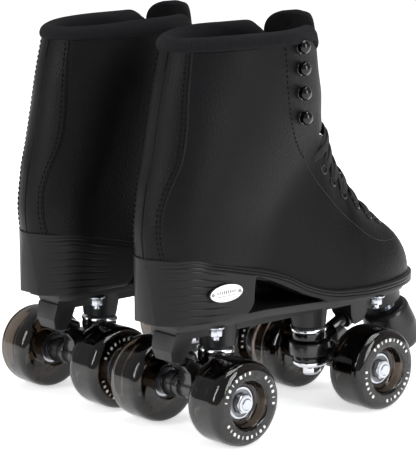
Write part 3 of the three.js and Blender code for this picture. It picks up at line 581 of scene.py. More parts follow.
def block(size: tuple[float, float, float], bevel: float, segments: int = 2) -> Shape:
    """A block about the origin.

    Args:
        size: its width, depth and height.
        bevel: the width of the softening, or 0 for none.
        segments: faces across the softening.

    Returns:
        A closed shape.
    """
    bm = bmesh.new()
    bm.loops.layers.uv.new("UVMap")
    bmesh.ops.create_cube(bm, size=1)
    bmesh.ops.scale(bm, verts=bm.verts, vec=size)
    if bevel:
        bmesh.ops.bevel(
            bm, geom=bm.edges, offset=bevel, segments=segments, profile=0.5, affect="EDGES",
            material=-1,
        )
    return bm


def gathered(parts: Iterable[Shape]) -> Shape:
    """Several shapes as one.

    Args:
        parts: the shapes, which are freed.

    Returns:
        The joined shape.
    """
    whole = bmesh.new()
    whole.loops.layers.uv.new("UVMap")
    for part in parts:
        mesh = bpy.data.meshes.new("part")
        part.to_mesh(mesh)
        part.free()
        whole.from_mesh(mesh)
        bpy.data.meshes.remove(mesh)
    return whole


def moved(bm: Shape, matrix: Matrix) -> Shape:
    """The shape itself, moved by a matrix that doesn't mirror."""
    bmesh.ops.transform(bm, matrix=matrix, verts=bm.verts)
    return bm


def standing(at: np.ndarray, normal: np.ndarray, along: np.ndarray) -> Matrix:
    """A frame that stands on a surface.

    Args:
        at: its origin.
        normal: its +Z.
        along: a direction that its +X runs nearly along.

    Returns:
        The frame as a matrix.
    """
    z = Vector(normal).normalized()
    y = z.cross(Vector(along)).normalized()
    x = y.cross(z)
    return Matrix.Translation(Vector(at)) @ Matrix((x, y, z)).transposed().to_4x4()


def leaned(degrees: float, y: float, z: float) -> Matrix:
    """A frame tipped about X and moved in the y-z plane."""
    return Matrix.Translation((0, y, z)) @ Matrix.Rotation(math.radians(degrees), 4, "X")


def crosswise(x: float, y: float, z: float, sign: int) -> Matrix:
    """A frame whose +Z points along sign * X."""
    turn = Matrix.Rotation(sign * math.pi / 2, 4, "Y")
    return Matrix.Translation((x, y, z)) @ turn


def resampled(points: Sequence[Sequence[float]], pitch: float) -> np.ndarray:
    """Evenly spaced points on a smooth line.

    Args:
        points: points that the line runs through.
        pitch: roughly the distance between the new points.

    Returns:
        The new points, one in each row.
    """
    p = np.array(points, float)
    length = np.concatenate([[0], np.cumsum(np.linalg.norm(np.diff(p, axis=0), axis=1))])
    curves = [Curve(*zip(length, p[:, k])) for k in range(3)]
    at = np.linspace(0, length[-1], max(2, round(length[-1] / pitch) + 1))
    return np.stack([curve(at) for curve in curves], axis=-1)


# ------------------------------------------------------------------ finishes


class Nodes:
    """Makes and links shader nodes in one node tree."""

    def __init__(self, tree: bpy.types.NodeTree) -> None:
        """Takes the tree to work in."""
        self.tree = tree

    def new(self, kind: str, **values: object) -> bpy.types.Node:
        """A node of a kind, with its properties and sockets set.

        Args:
            kind: the node's type without ShaderNode.
            values: properties by name, or input sockets by name with _ for spaces.

        Returns:
            The node.
        """
        node = self.tree.nodes.new(f"ShaderNode{kind}")
        for name, value in values.items():
            if hasattr(node, name):
                setattr(node, name, value)
                continue
            socket = node.inputs[name.replace("_", " ")]
            if isinstance(value, bpy.types.NodeSocket):
                self.tree.links.new(value, socket)
            else:
                socket.default_value = value
        return node

    def math(self, operation: str, *inputs: object) -> bpy.types.NodeSocket:
        """Adds a Math node.

        Args:
            operation: what it does.
            inputs: sockets or numbers.

        Returns:
            The result's socket.
        """
        node = self.tree.nodes.new("ShaderNodeMath")
        node.operation = operation
        for socket, value in zip(node.inputs, inputs):
            if isinstance(value, bpy.types.NodeSocket):
                self.tree.links.new(value, socket)
            else:
                socket.default_value = value
        return node.outputs[0]

    def link(self, output: bpy.types.NodeSocket, socket: bpy.types.NodeSocket) -> None:
        """Joins an output to an input."""
        self.tree.links.new(output, socket)


class EffectGroups:
    """The surface effects that several finishes share, each built once."""

    def __init__(self) -> None:
        """Builds every group."""
        self.grain = self._grain()
        self.weave = self._weave()
        self.wear = self._wear()

    @staticmethod
    def _group(name: str, inputs: dict[str, float], outputs: Sequence[str]) -> tuple:
        """A new node group with float inputs and outputs.

        Args:
            name: the group's name.
            inputs: input names with their defaults.
            outputs: output names.

        Returns:
            The tree, its node maker, its input node and its output node.
        """
        tree = bpy.data.node_groups.new(name, "ShaderNodeTree")
        for key, value in inputs.items():
            socket = tree.interface.new_socket(key, in_out="INPUT", socket_type="NodeSocketFloat")
            socket.default_value = value
        for key in outputs:
            tree.interface.new_socket(key, in_out="OUTPUT", socket_type="NodeSocketFloat")
        make = Nodes(tree)
        source = tree.nodes.new("NodeGroupInput")
        sink = tree.nodes.new("NodeGroupOutput")
        return tree, make, source, sink

    def _grain(self) -> bpy.types.NodeTree:
        """Pebbled grain with soft patches, from Object coordinates.

        Returns:
            The group, with Height and Patches.
        """
        tree, make, source, sink = self._group(
            "pebble_grain", {"Scale": 900, "Patch Scale": 30}, ("Height", "Patches")
        )
        place = make.new("TexCoord").outputs["Object"]
        cells = make.new("TexVoronoi", Vector=place, Scale=source.outputs["Scale"])
        fine_scale = make.math("MULTIPLY", source.outputs["Scale"], 2.3)
        fine = make.new("TexNoise", Vector=place, Scale=fine_scale, Detail=2.0)
        rise = make.math("MULTIPLY_ADD", fine.outputs["Fac"], 0.5, cells.outputs["Distance"])
        patches = make.new(
            "TexNoise", Vector=place, Scale=source.outputs["Patch Scale"], Detail=3.0
        )
        make.link(rise, sink.inputs["Height"])
        make.link(patches.outputs["Fac"], sink.inputs["Patches"])
        return tree

    def _weave(self) -> bpy.types.NodeTree:
        """Ribs crossed by fine yarns, from the piece's UV map.

        Returns:
            The group, with Height and Yarn.
        """
        tree, make, source, sink = self._group(
            "rib_weave", {"Ribs": 2800, "Yarns": 6000, "Slant": 0.5}, ("Height", "Yarn")
        )
        place = make.new("SeparateXYZ", Vector=make.new("TexCoord").outputs["UV"])
        x, y = place.outputs["X"], place.outputs["Y"]
        slanted = make.math("MULTIPLY_ADD", x, source.outputs["Slant"], y)
        rib = make.math("SINE", make.math("MULTIPLY", slanted, source.outputs["Ribs"]))
        across = make.math("MULTIPLY_ADD", y, -0.7, x)
        yarn = make.math("SINE", make.math("MULTIPLY", across, source.outputs["Yarns"]))
        height = make.math("MULTIPLY_ADD", yarn, 0.3, rib)
        make.link(height, sink.inputs["Height"])
        make.link(make.math("MULTIPLY_ADD", height, 0.3, 0.5), sink.inputs["Yarn"])
        return tree

    def _wear(self) -> bpy.types.NodeTree:
        """A mask of rubbed edges and corners.

        Returns:
            The group, with Edge.
        """
        tree, make, source, sink = self._group(
            "edge_wear", {"Edge": 0.5, "Scale": 120}, ("Edge",)
        )
        place = make.new("TexCoord").outputs["Object"]
        point = make.new("NewGeometry").outputs["Pointiness"]
        noise = make.new("TexNoise", Vector=place, Scale=source.outputs["Scale"], Detail=4.0)
        edge = make.new("MapRange", Value=point, From_Min=0.52, From_Max=0.6)
        worn = make.math("MULTIPLY", edge.outputs[0], noise.outputs["Fac"])
        make.link(make.math("MULTIPLY", worn, source.outputs["Edge"]), sink.inputs["Edge"])
        return tree


Color = tuple[float, float, float]


@dataclass(frozen=True)
class Finish:
    """One material: its colours, its gloss and how its surface is broken up."""

    name: str
    color: Color
    roughness: float
    worn: Color
    roughness_spread: float = 0.08
    metallic: float = 0
    specular: float = 0.5
    coat: float = 0
    coat_roughness: float = 0.1
    sheen: float = 0
    bump: float = 0.1
    depth: float = 0.0001
    scale: float = 900
    edge: float = 0.5

    def build(self, groups: EffectGroups) -> bpy.types.Material:
        """The material of a pebbled, moulded, painted or plated surface.

        Args:
            groups: the shared surface effects.

        Returns:
            The material.
        """
        material, make, shader = self.base()
        grain = make.new("Group", node_tree=groups.grain, Scale=self.scale)
        wear = make.new("Group", node_tree=groups.wear, Edge=self.edge)
        self.dress(
            make, shader, grain.outputs["Height"], grain.outputs["Patches"], wear.outputs["Edge"]
        )
        return material

    def base(self) -> tuple[bpy.types.Material, Nodes, bpy.types.Node]:
        """A new material with its shader's uniform values set.

        Returns:
            The material, its node maker and its shader.
        """
        material = bpy.data.materials.new(self.name)
        material.use_nodes = True
        material.node_tree.nodes.clear()
        make = Nodes(material.node_tree)
        shader = make.new(
            "BsdfPrincipled", Metallic=self.metallic, Coat_Weight=self.coat,
            Coat_Roughness=self.coat_roughness, Sheen_Weight=self.sheen, Sheen_Roughness=0.4,
        )
        shader.inputs["Specular IOR Level"].default_value = self.specular
        output = make.new("OutputMaterial", Surface=shader.outputs[0])
        output.is_active_output = True
        return material, make, shader

    def dress(self, make: Nodes, shader: bpy.types.Node, height: bpy.types.NodeSocket,
              patches: bpy.types.NodeSocket, edge: bpy.types.NodeSocket) -> None:
        """Joins surface masks to a shader's colour, gloss and normal.

        Args:
            make: the material's node maker.
            shader: the shader.
            height: the surface's relief.
            patches: where the gloss is duller.
            edge: where the worn colour shows.
        """
        ends = ((*self.color, 1), (*self.worn, 1))
        mix = make.new("Mix", data_type="RGBA")
        make.link(edge, mix.inputs["Factor"])
        rgba = [socket for socket in mix.inputs if socket.type == "RGBA"]
        rgba[0].default_value, rgba[1].default_value = ends
        result = [socket for socket in mix.outputs if socket.type == "RGBA"][0]
        make.link(result, shader.inputs["Base Color"])
        low = self.roughness - self.roughness_spread
        gloss = make.new("MapRange", Value=patches, From_Min=0.3, From_Max=0.7, To_Min=low,
                         To_Max=self.roughness + self.roughness_spread)
        make.link(gloss.outputs[0], shader.inputs["Roughness"])
        bump = make.new("Bump", Height=height, Strength=self.bump, Distance=self.depth)
        make.link(bump.outputs[0], shader.inputs["Normal"])


@dataclass(frozen=True)
class ClothFinish(Finish):
    """A knitted or woven surface whose ribs follow the piece's UV map."""

    ribs: float = 2800
    yarns: float = 6000
    slant: float = 0.5

    def build(self, groups: EffectGroups) -> bpy.types.Material:
        """The material of a ribbed cloth.

        Args:
            groups: the shared surface effects.

        Returns:
            The material.
        """
        material, make, shader = self.base()
        weave = make.new("Group", node_tree=groups.weave, Ribs=self.ribs, Yarns=self.yarns,
                         Slant=self.slant)
        grain = make.new("Group", node_tree=groups.grain, Scale=self.scale)
        rise = make.math("MULTIPLY_ADD", grain.outputs["Height"], 0.25, weave.outputs["Height"])
        self.dress(make, shader, rise, grain.outputs["Patches"], weave.outputs["Yarn"])
        return material


@dataclass(frozen=True)
class ClearFinish(Finish):
    """A smoky see-through moulding that darkens with its thickness."""

    absorbed: Color = (0.75, 0.6, 0.45)
    density: float = 60

    def build(self, groups: EffectGroups) -> bpy.types.Material:
        """The material of a see-through moulding.

        Args:
            groups: the shared surface effects.

        Returns:
            The material.
        """
        material, make, shader = self.base()
        shader.inputs["Transmission Weight"].default_value = 1
        shader.inputs["IOR"].default_value = 1.45
        grain = make.new("Group", node_tree=groups.grain, Scale=self.scale)
        wear = make.new("Group", node_tree=groups.wear, Edge=self.edge)
        self.dress(
            make, shader, grain.outputs["Height"], grain.outputs["Patches"], wear.outputs["Edge"]
        )
        fog = make.new("VolumeAbsorption", Density=self.density)
        fog.inputs["Color"].default_value = (*self.absorbed, 1)
        output = next(node for node in material.node_tree.nodes if node.type == "OUTPUT_MATERIAL")
        make.link(fog.outputs[0], output.inputs["Volume"])
        return material


class Slot(Enum):
    """The pair's finishes."""

    LEATHER = Finish("satin_leather", (0.0036, 0.0037, 0.0042), 0.4, (0.0085, 0.0087, 0.0098),
                     bump=0.9, depth=0.0002, scale=850, edge=0.25, specular=0.09)
    KNIT = ClothFinish("ribbed_knit", (0.0045, 0.0046, 0.0052), 0.95, (0.012, 0.0123, 0.014),
                       sheen=0.02, bump=0.8, depth=0.00035, specular=0.07, ribs=3600,
                       yarns=5200, slant=0.45)
    LACE = ClothFinish("woven_lace", (0.004, 0.0042, 0.005), 0.8, (0.016, 0.0163, 0.018),
                       sheen=0.03, bump=0.6, depth=0.0002, specular=0.2, ribs=6500,
                       yarns=6500, slant=1)
    SOLE = Finish("moulded_sole", (0.0052, 0.0053, 0.0058), 0.4, (0.013, 0.013, 0.0145),
                  bump=0.1, scale=1400, specular=0.18)
    BOARD = Finish("brushed_lining", (0.04, 0.038, 0.036), 0.9, (0.07, 0.066, 0.06),
                   sheen=0.3, bump=0.4, scale=1500)
    PLATE = Finish("nylon_plate", (0.008, 0.008, 0.0088), 0.48, (0.02, 0.02, 0.022),
                   bump=0.25, scale=1700, edge=0.7, specular=0.35)
    BADGE = Finish("polished_badge", (0.72, 0.73, 0.75), 0.2, (0.85, 0.85, 0.86),
                   roughness_spread=0.05, metallic=1, bump=0.05, scale=2500)
    RUBBER = Finish("stop_rubber", (0.006, 0.006, 0.0066), 0.3, (0.018, 0.018, 0.019),
                    bump=0.12, scale=1100, edge=0.7, specular=0.4)
    BLACK_METAL = Finish("black_gloss_coat", (0.004, 0.004, 0.0048), 0.28, (0.03, 0.03, 0.033),
                         coat=0.4, coat_roughness=0.08, bump=0.06, scale=700, edge=0.35,
                         specular=0.4)
    STEEL = Finish("zinc_plate", (0.42, 0.44, 0.48), 0.24, (0.62, 0.63, 0.66),
                   metallic=1, bump=0.08, scale=1600)
    CHROME = Finish("bright_plate", (0.74, 0.76, 0.79), 0.12, (0.9, 0.9, 0.92),
                    roughness_spread=0.04, metallic=1, bump=0.04, scale=1800)
    CUSHION = Finish("urethane_cushion", (0.003, 0.003, 0.0034), 0.16, (0.009, 0.009, 0.01),
                     coat=0.3, coat_roughness=0.05, bump=0.04, scale=500, specular=0.35)
    URETHANE = ClearFinish("smoky_urethane", (0.5, 0.47, 0.45), 0.06, (0.55, 0.53, 0.5),
                           roughness_spread=0.02, bump=0.003, scale=60, edge=0.2,
                           absorbed=(0.6, 0.56, 0.52), density=300)


@dataclass(frozen=True)
class ExtraFinishes:
    """Finishes of small trim that share another piece's slot."""

    thread: Finish = Finish("black_thread", (0.001, 0.001, 0.0012), 0.7, (0.003, 0.003, 0.0032),
                            bump=0.3, scale=3000, specular=0.06)
    # The black thread, coloured grey as a painted highlight along the lower facing stitches.
    painted_highlight_thread: Finish = Finish("thread_painted_highlight", (0.03, 0.03, 0.033), 0.7, (0.05, 0.05, 0.05),
                                 bump=0.3, scale=3000)
    enamel: Finish = Finish("black_enamel", (0.0012, 0.0012, 0.0014), 0.08, (0.006, 0.006, 0.006),
                            roughness_spread=0.03, coat=0.2, coat_roughness=0.03, bump=0.02,
                            specular=0.22)
    marking: Finish = Finish("pale_marking", (0.72, 0.72, 0.7), 0.45, (0.5, 0.5, 0.5), bump=0.1)
    nylon: Finish = Finish("nut_insert", (0.5, 0.53, 0.58), 0.45, (0.6, 0.6, 0.62), bump=0.1)
    shield: Finish = Finish("bearing_shield", (0.13, 0.135, 0.145), 0.35, (0.3, 0.3, 0.31),
                            metallic=1, bump=0.1)
    engraved: Finish = Finish("engraved_mark", (0.2, 0.2, 0.21), 0.4, (0.3, 0.3, 0.3),
                              metallic=1, bump=0.1)


class FinishShelf:
    """Every finish of the pair, made once as a material."""

    def __init__(self) -> None:
        """Builds the shared effects and the materials."""
        groups = EffectGroups()
        extras = ExtraFinishes()
        self.by_slot = {slot: slot.value.build(groups) for slot in Slot}
        self.thread = extras.thread.build(groups)
        self.painted_highlight_thread = extras.painted_highlight_thread.build(groups)
        self.enamel = extras.enamel.build(groups)
        self.marking = extras.marking.build(groups)
        self.nylon = extras.nylon.build(groups)
        self.shield = extras.shield.build(groups)
        self.engraved = extras.engraved.build(groups)


# ------------------------------------------------------------------ setting pieces in place


@dataclass
class Workshop:
    """Sets shapes made in a skate's own frame into the row frame, once for each skate."""

    shelf: FinishShelf
    skates: list[SkateSide] = field(default_factory=lambda: [SkateSide(side) for side in Side])

    def place(self, bm: Shape, name: str, slot: Slot, body: str, nodes: Sequence[str] = (),
              end: End = End.FRONT, smooth: float = 35,
              material: bpy.types.Material | None = None) -> list[bpy.types.Object]:
        """Makes a piece of each skate from one shape, and frees the shape.

        Args:
            bm: the shape, in millimetres, closed and facing outwards.
            name: the piece's name after its side.
            slot: the slot whose finish it gets, where no material is given.
            body: the CAD body it rides on, after its side; when empty, it rides on none.
            nodes: the CAD nodes it stands for, after their side.
            end: the rear turns a shape made for the front truck round.
            smooth: edges under this angle in degrees are shaded smooth.
            material: its finish, where it isn't the slot's own.

        Returns:
            The right skate's piece and the left one's.
        """
        made = []
        for skate in self.skates:
            copy = bm.copy()
            matrix = skate.matrix()
            if end is End.REAR:
                matrix = matrix @ Matrix.Rotation(math.pi, 4, "Z")
            copy.transform(matrix)
            if matrix.determinant() < 0:
                bmesh.ops.reverse_faces(copy, faces=copy.faces)
            mesh = bpy.data.meshes.new(skate.node(name))
            copy.to_mesh(mesh)
            copy.free()
            mesh.shade_smooth()
            mesh.set_sharp_from_angle(angle=math.radians(smooth))
            mesh.materials.append(material or self.shelf.by_slot[slot])
            piece = bpy.data.objects.new(skate.node(name), mesh)
            bpy.context.scene.collection.objects.link(piece)
            if body:
                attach(piece, skate.node(body))
            if nodes:
                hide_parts(*[skate.node(node) for node in nodes])
            made.append(piece)
        bm.free()
        LOG.info("made %s: %d triangles", name, sum(len(p.vertices) - 2 for p in mesh.polygons))
        return made

    def from_cad(self, node: str, bevel: float) -> Shape:
        """A copy of a CAD node in the right skate's own frame, with softened edges.

        Args:
            node: the node's name after its side.
            bevel: the width of the softening in millimetres.

        Returns:
            A closed bmesh.
        """
        skate = self.skates[0]
        bm = bmesh.new()
        bm.from_mesh(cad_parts[skate.node(node)].data)
        bm.transform(skate.matrix().inverted())
        bmesh.ops.remove_doubles(bm, verts=bm.verts, dist=1e-3)
        bmesh.ops.dissolve_limit(
            bm, angle_limit=math.radians(1), verts=bm.verts, edges=bm.edges
        )
        sharp = [e for e in bm.edges if e.is_manifold and e.calc_face_angle() > math.radians(30)]
        bmesh.ops.bevel(
            bm, geom=sharp, offset=bevel, segments=2, profile=0.5, affect="EDGES", material=-1,
            clamp_overlap=True,
        )
        return bm

    def dress_cad(self, node: str, slot: Slot) -> None:
        """Gives a CAD node of both skates its finish.

        Args:
            node: the node's name after its side.
            slot: its finish.
        """
        for skate in self.skates:
            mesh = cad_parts[skate.node(node)].data
            mesh.materials.clear()
            mesh.materials.append(self.shelf.by_slot[slot])


# ------------------------------------------------------------------ padding


@dataclass(frozen=True)
class Padding:
    """How a padded piece is swelled by a short cloth simulation."""

    fill: float = 0.7
    cap: float = 0.0012
    pressure: float = 4
    stiffness: float = 12
    bending: float = 2
    mass: float = 0.2
    quality: int = 3
    frames: int = 12

    def pad(self, pieces: Iterable[bpy.types.Object]) -> None:
        """Args:
            pieces: the pieces, in the row frame.
        """
        for piece in pieces:
            self.swell(piece)

    def swell(self, piece: bpy.types.Object) -> None:
        """Runs the simulation on a piece and keeps its result in the mesh.

        Args:
            piece: the piece, which no point of leaves its place by more than the cap.
        """
        scene = bpy.context.scene
        start = [vert.co.copy() for vert in piece.data.vertices]
        cloth = piece.modifiers.new("padding", "CLOTH")
        settings = cloth.settings
        settings.quality = self.quality
        settings.mass = self.mass
        settings.tension_stiffness = self.stiffness
        settings.compression_stiffness = self.stiffness
        settings.bending_stiffness = self.bending
        settings.use_pressure = True
        settings.uniform_pressure_force = self.pressure
        settings.effector_weights.gravity = 0
        cloth.collision_settings.use_collision = False
        for step in range(1, self.frames + 1):
            scene.frame_set(step)
        view = piece.evaluated_get(bpy.context.evaluated_depsgraph_get())
        ends = [vert.co.copy() for vert in view.data.vertices]
        piece.modifiers.remove(cloth)
        scene.frame_set(1)
        for vert, a, b in zip(piece.data.vertices, start, ends):
            move = b - a
            if move.length > self.cap:
                move = move.normalized() * self.cap
            vert.co = a + move
        piece.data.update()


# ------------------------------------------------------------------ boot


@dataclass
class Boot:
    """The leather upper with its seams, padding, lacing and insole."""

    shop: Workshop
    form: BootForm
    padding: Padding = Padding()
    leather: float = 2.6
    around_steps: int = 120
    flap_round: float = 0.13
    stitch_length: float = 2.1
    stitch_pitch: float = 3.6
    stitch_radius: float = 0.36
    stay_height: float = 0.7
    stay_rows: tuple[float, float] = (1.8, 3.9)
    tongue_thickness: float = 7
    tongue_turn: float = 1.22
    tongue_half: float = 31
    tongue_curl: float = 15
    tongue_lean: float = 3
    eyelet_pairs: int = 7
    eyelet_margin: float = 7.5
    eyelet_radius: float = 3.9
    hook_radius: float = 5
    lace_width: float = 5.6
    lace_thickness: float = 1.3
    hook_places: Points = ((5.7, 257.5), (6, 243), (6.7, 226.5), (9, 209.5))
    stay_half_width: Curve = Curve(
        (118, 17.5), (127, 16), (140, 15), (152, 14.6), (163, 16), (176, 18.6), (187, 20.6),
        (197, 21), (208, 20.6), (230, 19), (262, 16.5),
    )
    facing: tuple = (
        (31, -12, 260.5), (31.2, -10.5, 250), (31.3, -9, 232), (30.3, -5, 211.6), (28.1, 2, 194),
        (25.5, 13.9, 178.9), (25.8, 25.9, 161.9), (27.7, 40.6, 145.3), (29.1, 56.3, 131.7),
        (31, 70.1, 121), (30.3, 83.5, 115.5), (26.7, 98.1, 113.6), (20, 109.5, 113.2),
        (10, 116.5, 114),
    )

    def build(self) -> None:
        """Makes every piece of the boot."""
        self.upper()
        self.back_stay()
        self.stitching()
        self.collar()
        self.tongue()
        self.laces()
        self.eyelets()
        self.hooks()
        self.insole()

    def throat_turn(self, s: np.ndarray) -> np.ndarray:
        """The turns of the facing's edge at stations."""
        turns = self.form.turn_at(s, self.form.throat(s))
        return np.where(s < 0.64, 0, turns)

    def shell_rows(self, stations: np.ndarray) -> tuple[np.ndarray, np.ndarray]:
        """Stations and turns of a grid over the leather.

        Args:
            stations: the stations of the rows.

        Returns:
            Two arrays of rows and columns, stations and turns.
        """
        start = self.throat_turn(stations)[:, None]
        share = np.linspace(0, 1, self.around_steps + 1)[None, :]
        turns = blend(start, 2 * np.pi - start, share)
        near = np.minimum(turns - start, 2 * np.pi - start - turns)
        drop = self.flap_round * (1 - smooth_step(0, 0.42, near)) ** 2
        leg = np.clip((stations - 2) / (self.form.top - 2), 0, 1)[:, None]
        return stations[:, None] - leg ** 2 * drop, turns

    def upper(self) -> None:
        """The leather shell."""
        toe = np.sin(np.linspace(0.03, 1, 26) * np.pi / 2) * 0.62
        throat = np.linspace(0.64, 1.62, 60)
        notch = np.linspace(1.635, 1.8, 15)
        leg = np.linspace(1.83, self.form.top, 26)
        s, turns = self.shell_rows(np.concatenate([toe, throat, notch, leg]))
        bm = sheet(self.form.splayed(self.form.points(s, turns)))
        tip = [e for e in bm.edges if e.is_boundary and all(v.co.y > 128 for v in e.verts)]
        bmesh.ops.holes_fill(bm, edges=tip, sides=0)
        bmesh.ops.reverse_faces(bm, faces=bm.faces)
        bmesh.ops.solidify(bm, geom=bm.faces, thickness=self.leather)
        self.shop.place(bm, "leather_upper", Slot.LEATHER, "skate", ("upper",), smooth=50)

    def back_stay(self) -> None:
        """The raised strip up the back, with a seam line down its middle."""
        z = np.linspace(121, 263.5, 70)[:, None]
        across = np.linspace(-1, 1, 49)[None, :]
        x = across * self.stay_half_width(z)
        edge = 1 - smooth_step(0.93, 1, np.abs(across))
        seam = 1 - 0.75 * (1 - smooth_step(0.0, 0.045, np.abs(across)))
        raised = -0.5 + (self.stay_height + 0.5) * edge * seam + 0 * z
        bm = sheet(self.form.back_points(x, z + 0 * x, raised))
        bmesh.ops.solidify(bm, geom=bm.faces, thickness=0.9)
        self.shop.place(bm, "back_stay", Slot.LEATHER, "skate", smooth=50)

    def dashes(self, line: np.ndarray, raised: float, radius: float) -> list[Shape]:
        """Stitches along a line on the surface.

        Args:
            line: points a stitch pitch apart.
            raised: height of the thread's middle over the surface.
            radius: the thread's radius.

        Returns:
            One small shape per stitch.
        """
        line = self.form.settled(line, raised)
        normals = self.form.normals(line)
        line = self.form.splayed(line)
        out = []
        for at, after, normal in zip(line, line[1:], normals):
            stitch = block((self.stitch_length, radius * 2, radius * 1.6), 0.25, 1)
            out.append(moved(stitch, standing(at, normal, after - at)))
        return out

    def stitching(self) -> None:
        """The double rows along the back stay and the row that follows the facing."""
        stitches = []
        height = np.linspace(121, 261, 60)
        for sign in (-1, 1):
            for inset in self.stay_rows:
                x = sign * (self.stay_half_width(height) - inset)
                line = self.form.back_points(x, height)
                line = resampled(line, self.stitch_pitch)
                stitches += self.dashes(line, self.stay_height + 0.15, self.stitch_radius)
        upper = resampled(self.facing[:6], self.stitch_pitch)
        for sign in (-1, 1):
            stitches += self.dashes(upper * [sign, 1, 1], 0.15, self.stitch_radius)
        self.shop.place(
            gathered(stitches), "black_stitches", Slot.LEATHER, "skate",
            material=self.shop.shelf.thread,
        )
        # The lower facing stitches and the toe bar use the black thread with a painted highlight:
        # its grey colour stands for light along the thread.
        pale = []
        lower = resampled(self.facing[5:], 2.2)
        middle = self.form.ball_shift
        for sign in (-1, 1):
            line = lower.copy()
            if sign < 0:
                line[:, 0] = 2 * self.form.centre(line[:, 1]) - line[:, 0]
            pale += self.dashes(line, 0.05, 0.2)
        bar = np.linspace((10, 116.5, 114), (2 * middle - 10, 116.5, 114), 10)
        pale += self.dashes(bar, 0.05, 0.2)
        self.shop.place(
            gathered(pale), "facing_stitches", Slot.LEATHER, "skate",
            material=self.shop.shelf.painted_highlight_thread,
        )

    def collar(self) -> None:
        """The padded knit lining, rolled out over the leather's edge."""
        section = [
            (-37.5, 3.4), (-25, 3.2), (-10, 3.1), (-1, 3.0), (0.2, 2.6), (0.2, 0.6), (0, -1.0),
            (1.0, -2.2), (3.2, -2.9), (5.8, -2.6), (8.2, -1.2), (9.8, 1), (10.4, 3.6), (9.9, 6),
            (8.2, 8.2), (5.4, 9.6), (1.4, 10.3), (-4, 10.4), (-12, 10), (-22, 9.4), (-32, 9.2),
            (-37, 8.6), (-38, 6.5),
        ]
        closed = np.array(section + section[:1])
        length = np.concatenate([[0], np.cumsum(np.hypot(*np.diff(closed, axis=0).T))])
        even = np.linspace(0, length[-1], 73)[:-1]
        offset = Curve(*zip(length, closed[:, 0]))(even)
        depth = Curve(*zip(length, closed[:, 1]))(even)
        steps = 140
        level = self.form.leg_station(self.form.collar_level)
        start = float(self.throat_turn(np.array([level]))[0]) + 0.05
        turns = np.linspace(start, 2 * np.pi - start, steps + 1)[:, None]
        near = np.minimum(turns - start, 2 * np.pi - start - turns)
        drop = self.flap_round * (1 - smooth_step(0, 0.42, near)) ** 2
        per_mm = 1 / (self.form.leg_top - self.form.fan_z)
        s = level + offset[None, :] * per_mm - drop
        taper = 0.35 + 0.65 * np.sqrt(np.clip(near / 0.1, 0, 1))
        thin = blend(5.5, depth[None, :], taper)
        points = self.form.splayed(self.form.points(s, turns + 0 * s, -thin))
        bm = sheet(points, wrap=True, caps=True)
        bmesh.ops.recalc_face_normals(bm, faces=bm.faces)
        pieces = self.shop.place(
            bm, "padded_collar", Slot.KNIT, "skate", ("collar_lining",), smooth=60,
        )
        self.padding.pad(pieces)

    def tongue(self) -> None:
        """The padded tongue, under the facings and standing above the collar."""
        width = Curve((0.74, 14), (1.2, 24), (1.7, 27), (2.2, 29), (3, 30))
        under = Curve((1.9, 3.4), (2.15, 9.9), (3, 9.6))
        low, high = 0.76, 2.87
        s = np.concatenate([np.linspace(low, 2.4, 80), np.linspace(2.42, high, 36)])
        crown = np.clip((s - 2.58) / (high - 2.58), 0, 1)
        round_top = np.clip(1 - crown ** 3.2, 0, 1) ** 0.36
        half = blend(self.form.turn_at(s, width(s)), self.tongue_turn, smooth_step(2.1, 2.5, s))
        half = (half * np.maximum(round_top, 0.12))[:, None]
        loop = np.linspace(0, 2 * np.pi, 73)[:-1][None, :]
        across = np.sign(np.cos(loop)) * np.abs(np.cos(loop)) ** 0.8
        swell = np.sign(np.sin(loop)) * np.abs(np.sin(loop)) ** 0.6
        ends = smooth_step(low, low + 0.05, s) * (1 - smooth_step(high - 0.03, high, s) * 0.6)
        thick = (self.tongue_thickness * np.maximum(ends, 0.15))[:, None]
        depth = under(s)[:, None] + self.tongue_thickness / 2 - swell * thick / 2
        points = self.form.points(s[:, None] + 0 * loop, half * across, -depth)
        free = self.form.points(s[:, None] + 0 * loop, 0 * half * across, -depth)
        share = half / half.max() * across
        free[..., 0] = share * self.tongue_half
        free[..., 1] += self.tongue_lean - self.tongue_curl * share ** 2
        points = blend(points, free, smooth_step(2.2, 2.66, s)[:, None, None])
        bm = sheet(points, wrap=True, caps=True)
        bmesh.ops.recalc_face_normals(bm, faces=bm.faces)
        pieces = self.shop.place(bm, "padded_tongue", Slot.KNIT, "skate", ("tongue",), smooth=60)
        self.padding.pad(pieces)

    def eyelet_station(self, k: float) -> float:
        """The station of the k-th eyelet pair from the toe."""
        return float(blend(0.76, 1.62, k / (self.eyelet_pairs - 1)))

    def eyelet_turn(self, s: float) -> float:
        """The outer eyelet's turn at a station."""
        return float(self.form.turn_at(s, self.form.throat(s) + self.eyelet_margin))

    def ribbon(self, path: np.ndarray, normals: np.ndarray) -> Shape:
        """A flat lace that lies square to the normals.

        Args:
            path: points along its middle.
            normals: the surface's normal at each.

        Returns:
            The ribbon.
        """
        tangent = np.gradient(path, axis=0)
        side = np.cross(normals, tangent)
        side /= np.linalg.norm(side, axis=1, keepdims=True)
        half, thick = self.lace_width / 2, self.lace_thickness / 2
        section = [
            (half, 0), (half * 0.9, 0.7), (half * 0.5, 1), (0, 1.05), (-half * 0.5, 1),
            (-half * 0.9, 0.7), (-half, 0), (-half * 0.9, -0.7), (0, -1), (half * 0.9, -0.7),
        ]
        rows = [side * a + normals * (b * thick) + path for a, b in section]
        bm = sheet(np.stack(rows, axis=1), wrap=True, caps=True)
        bmesh.ops.recalc_face_normals(bm, faces=bm.faces)
        return bm

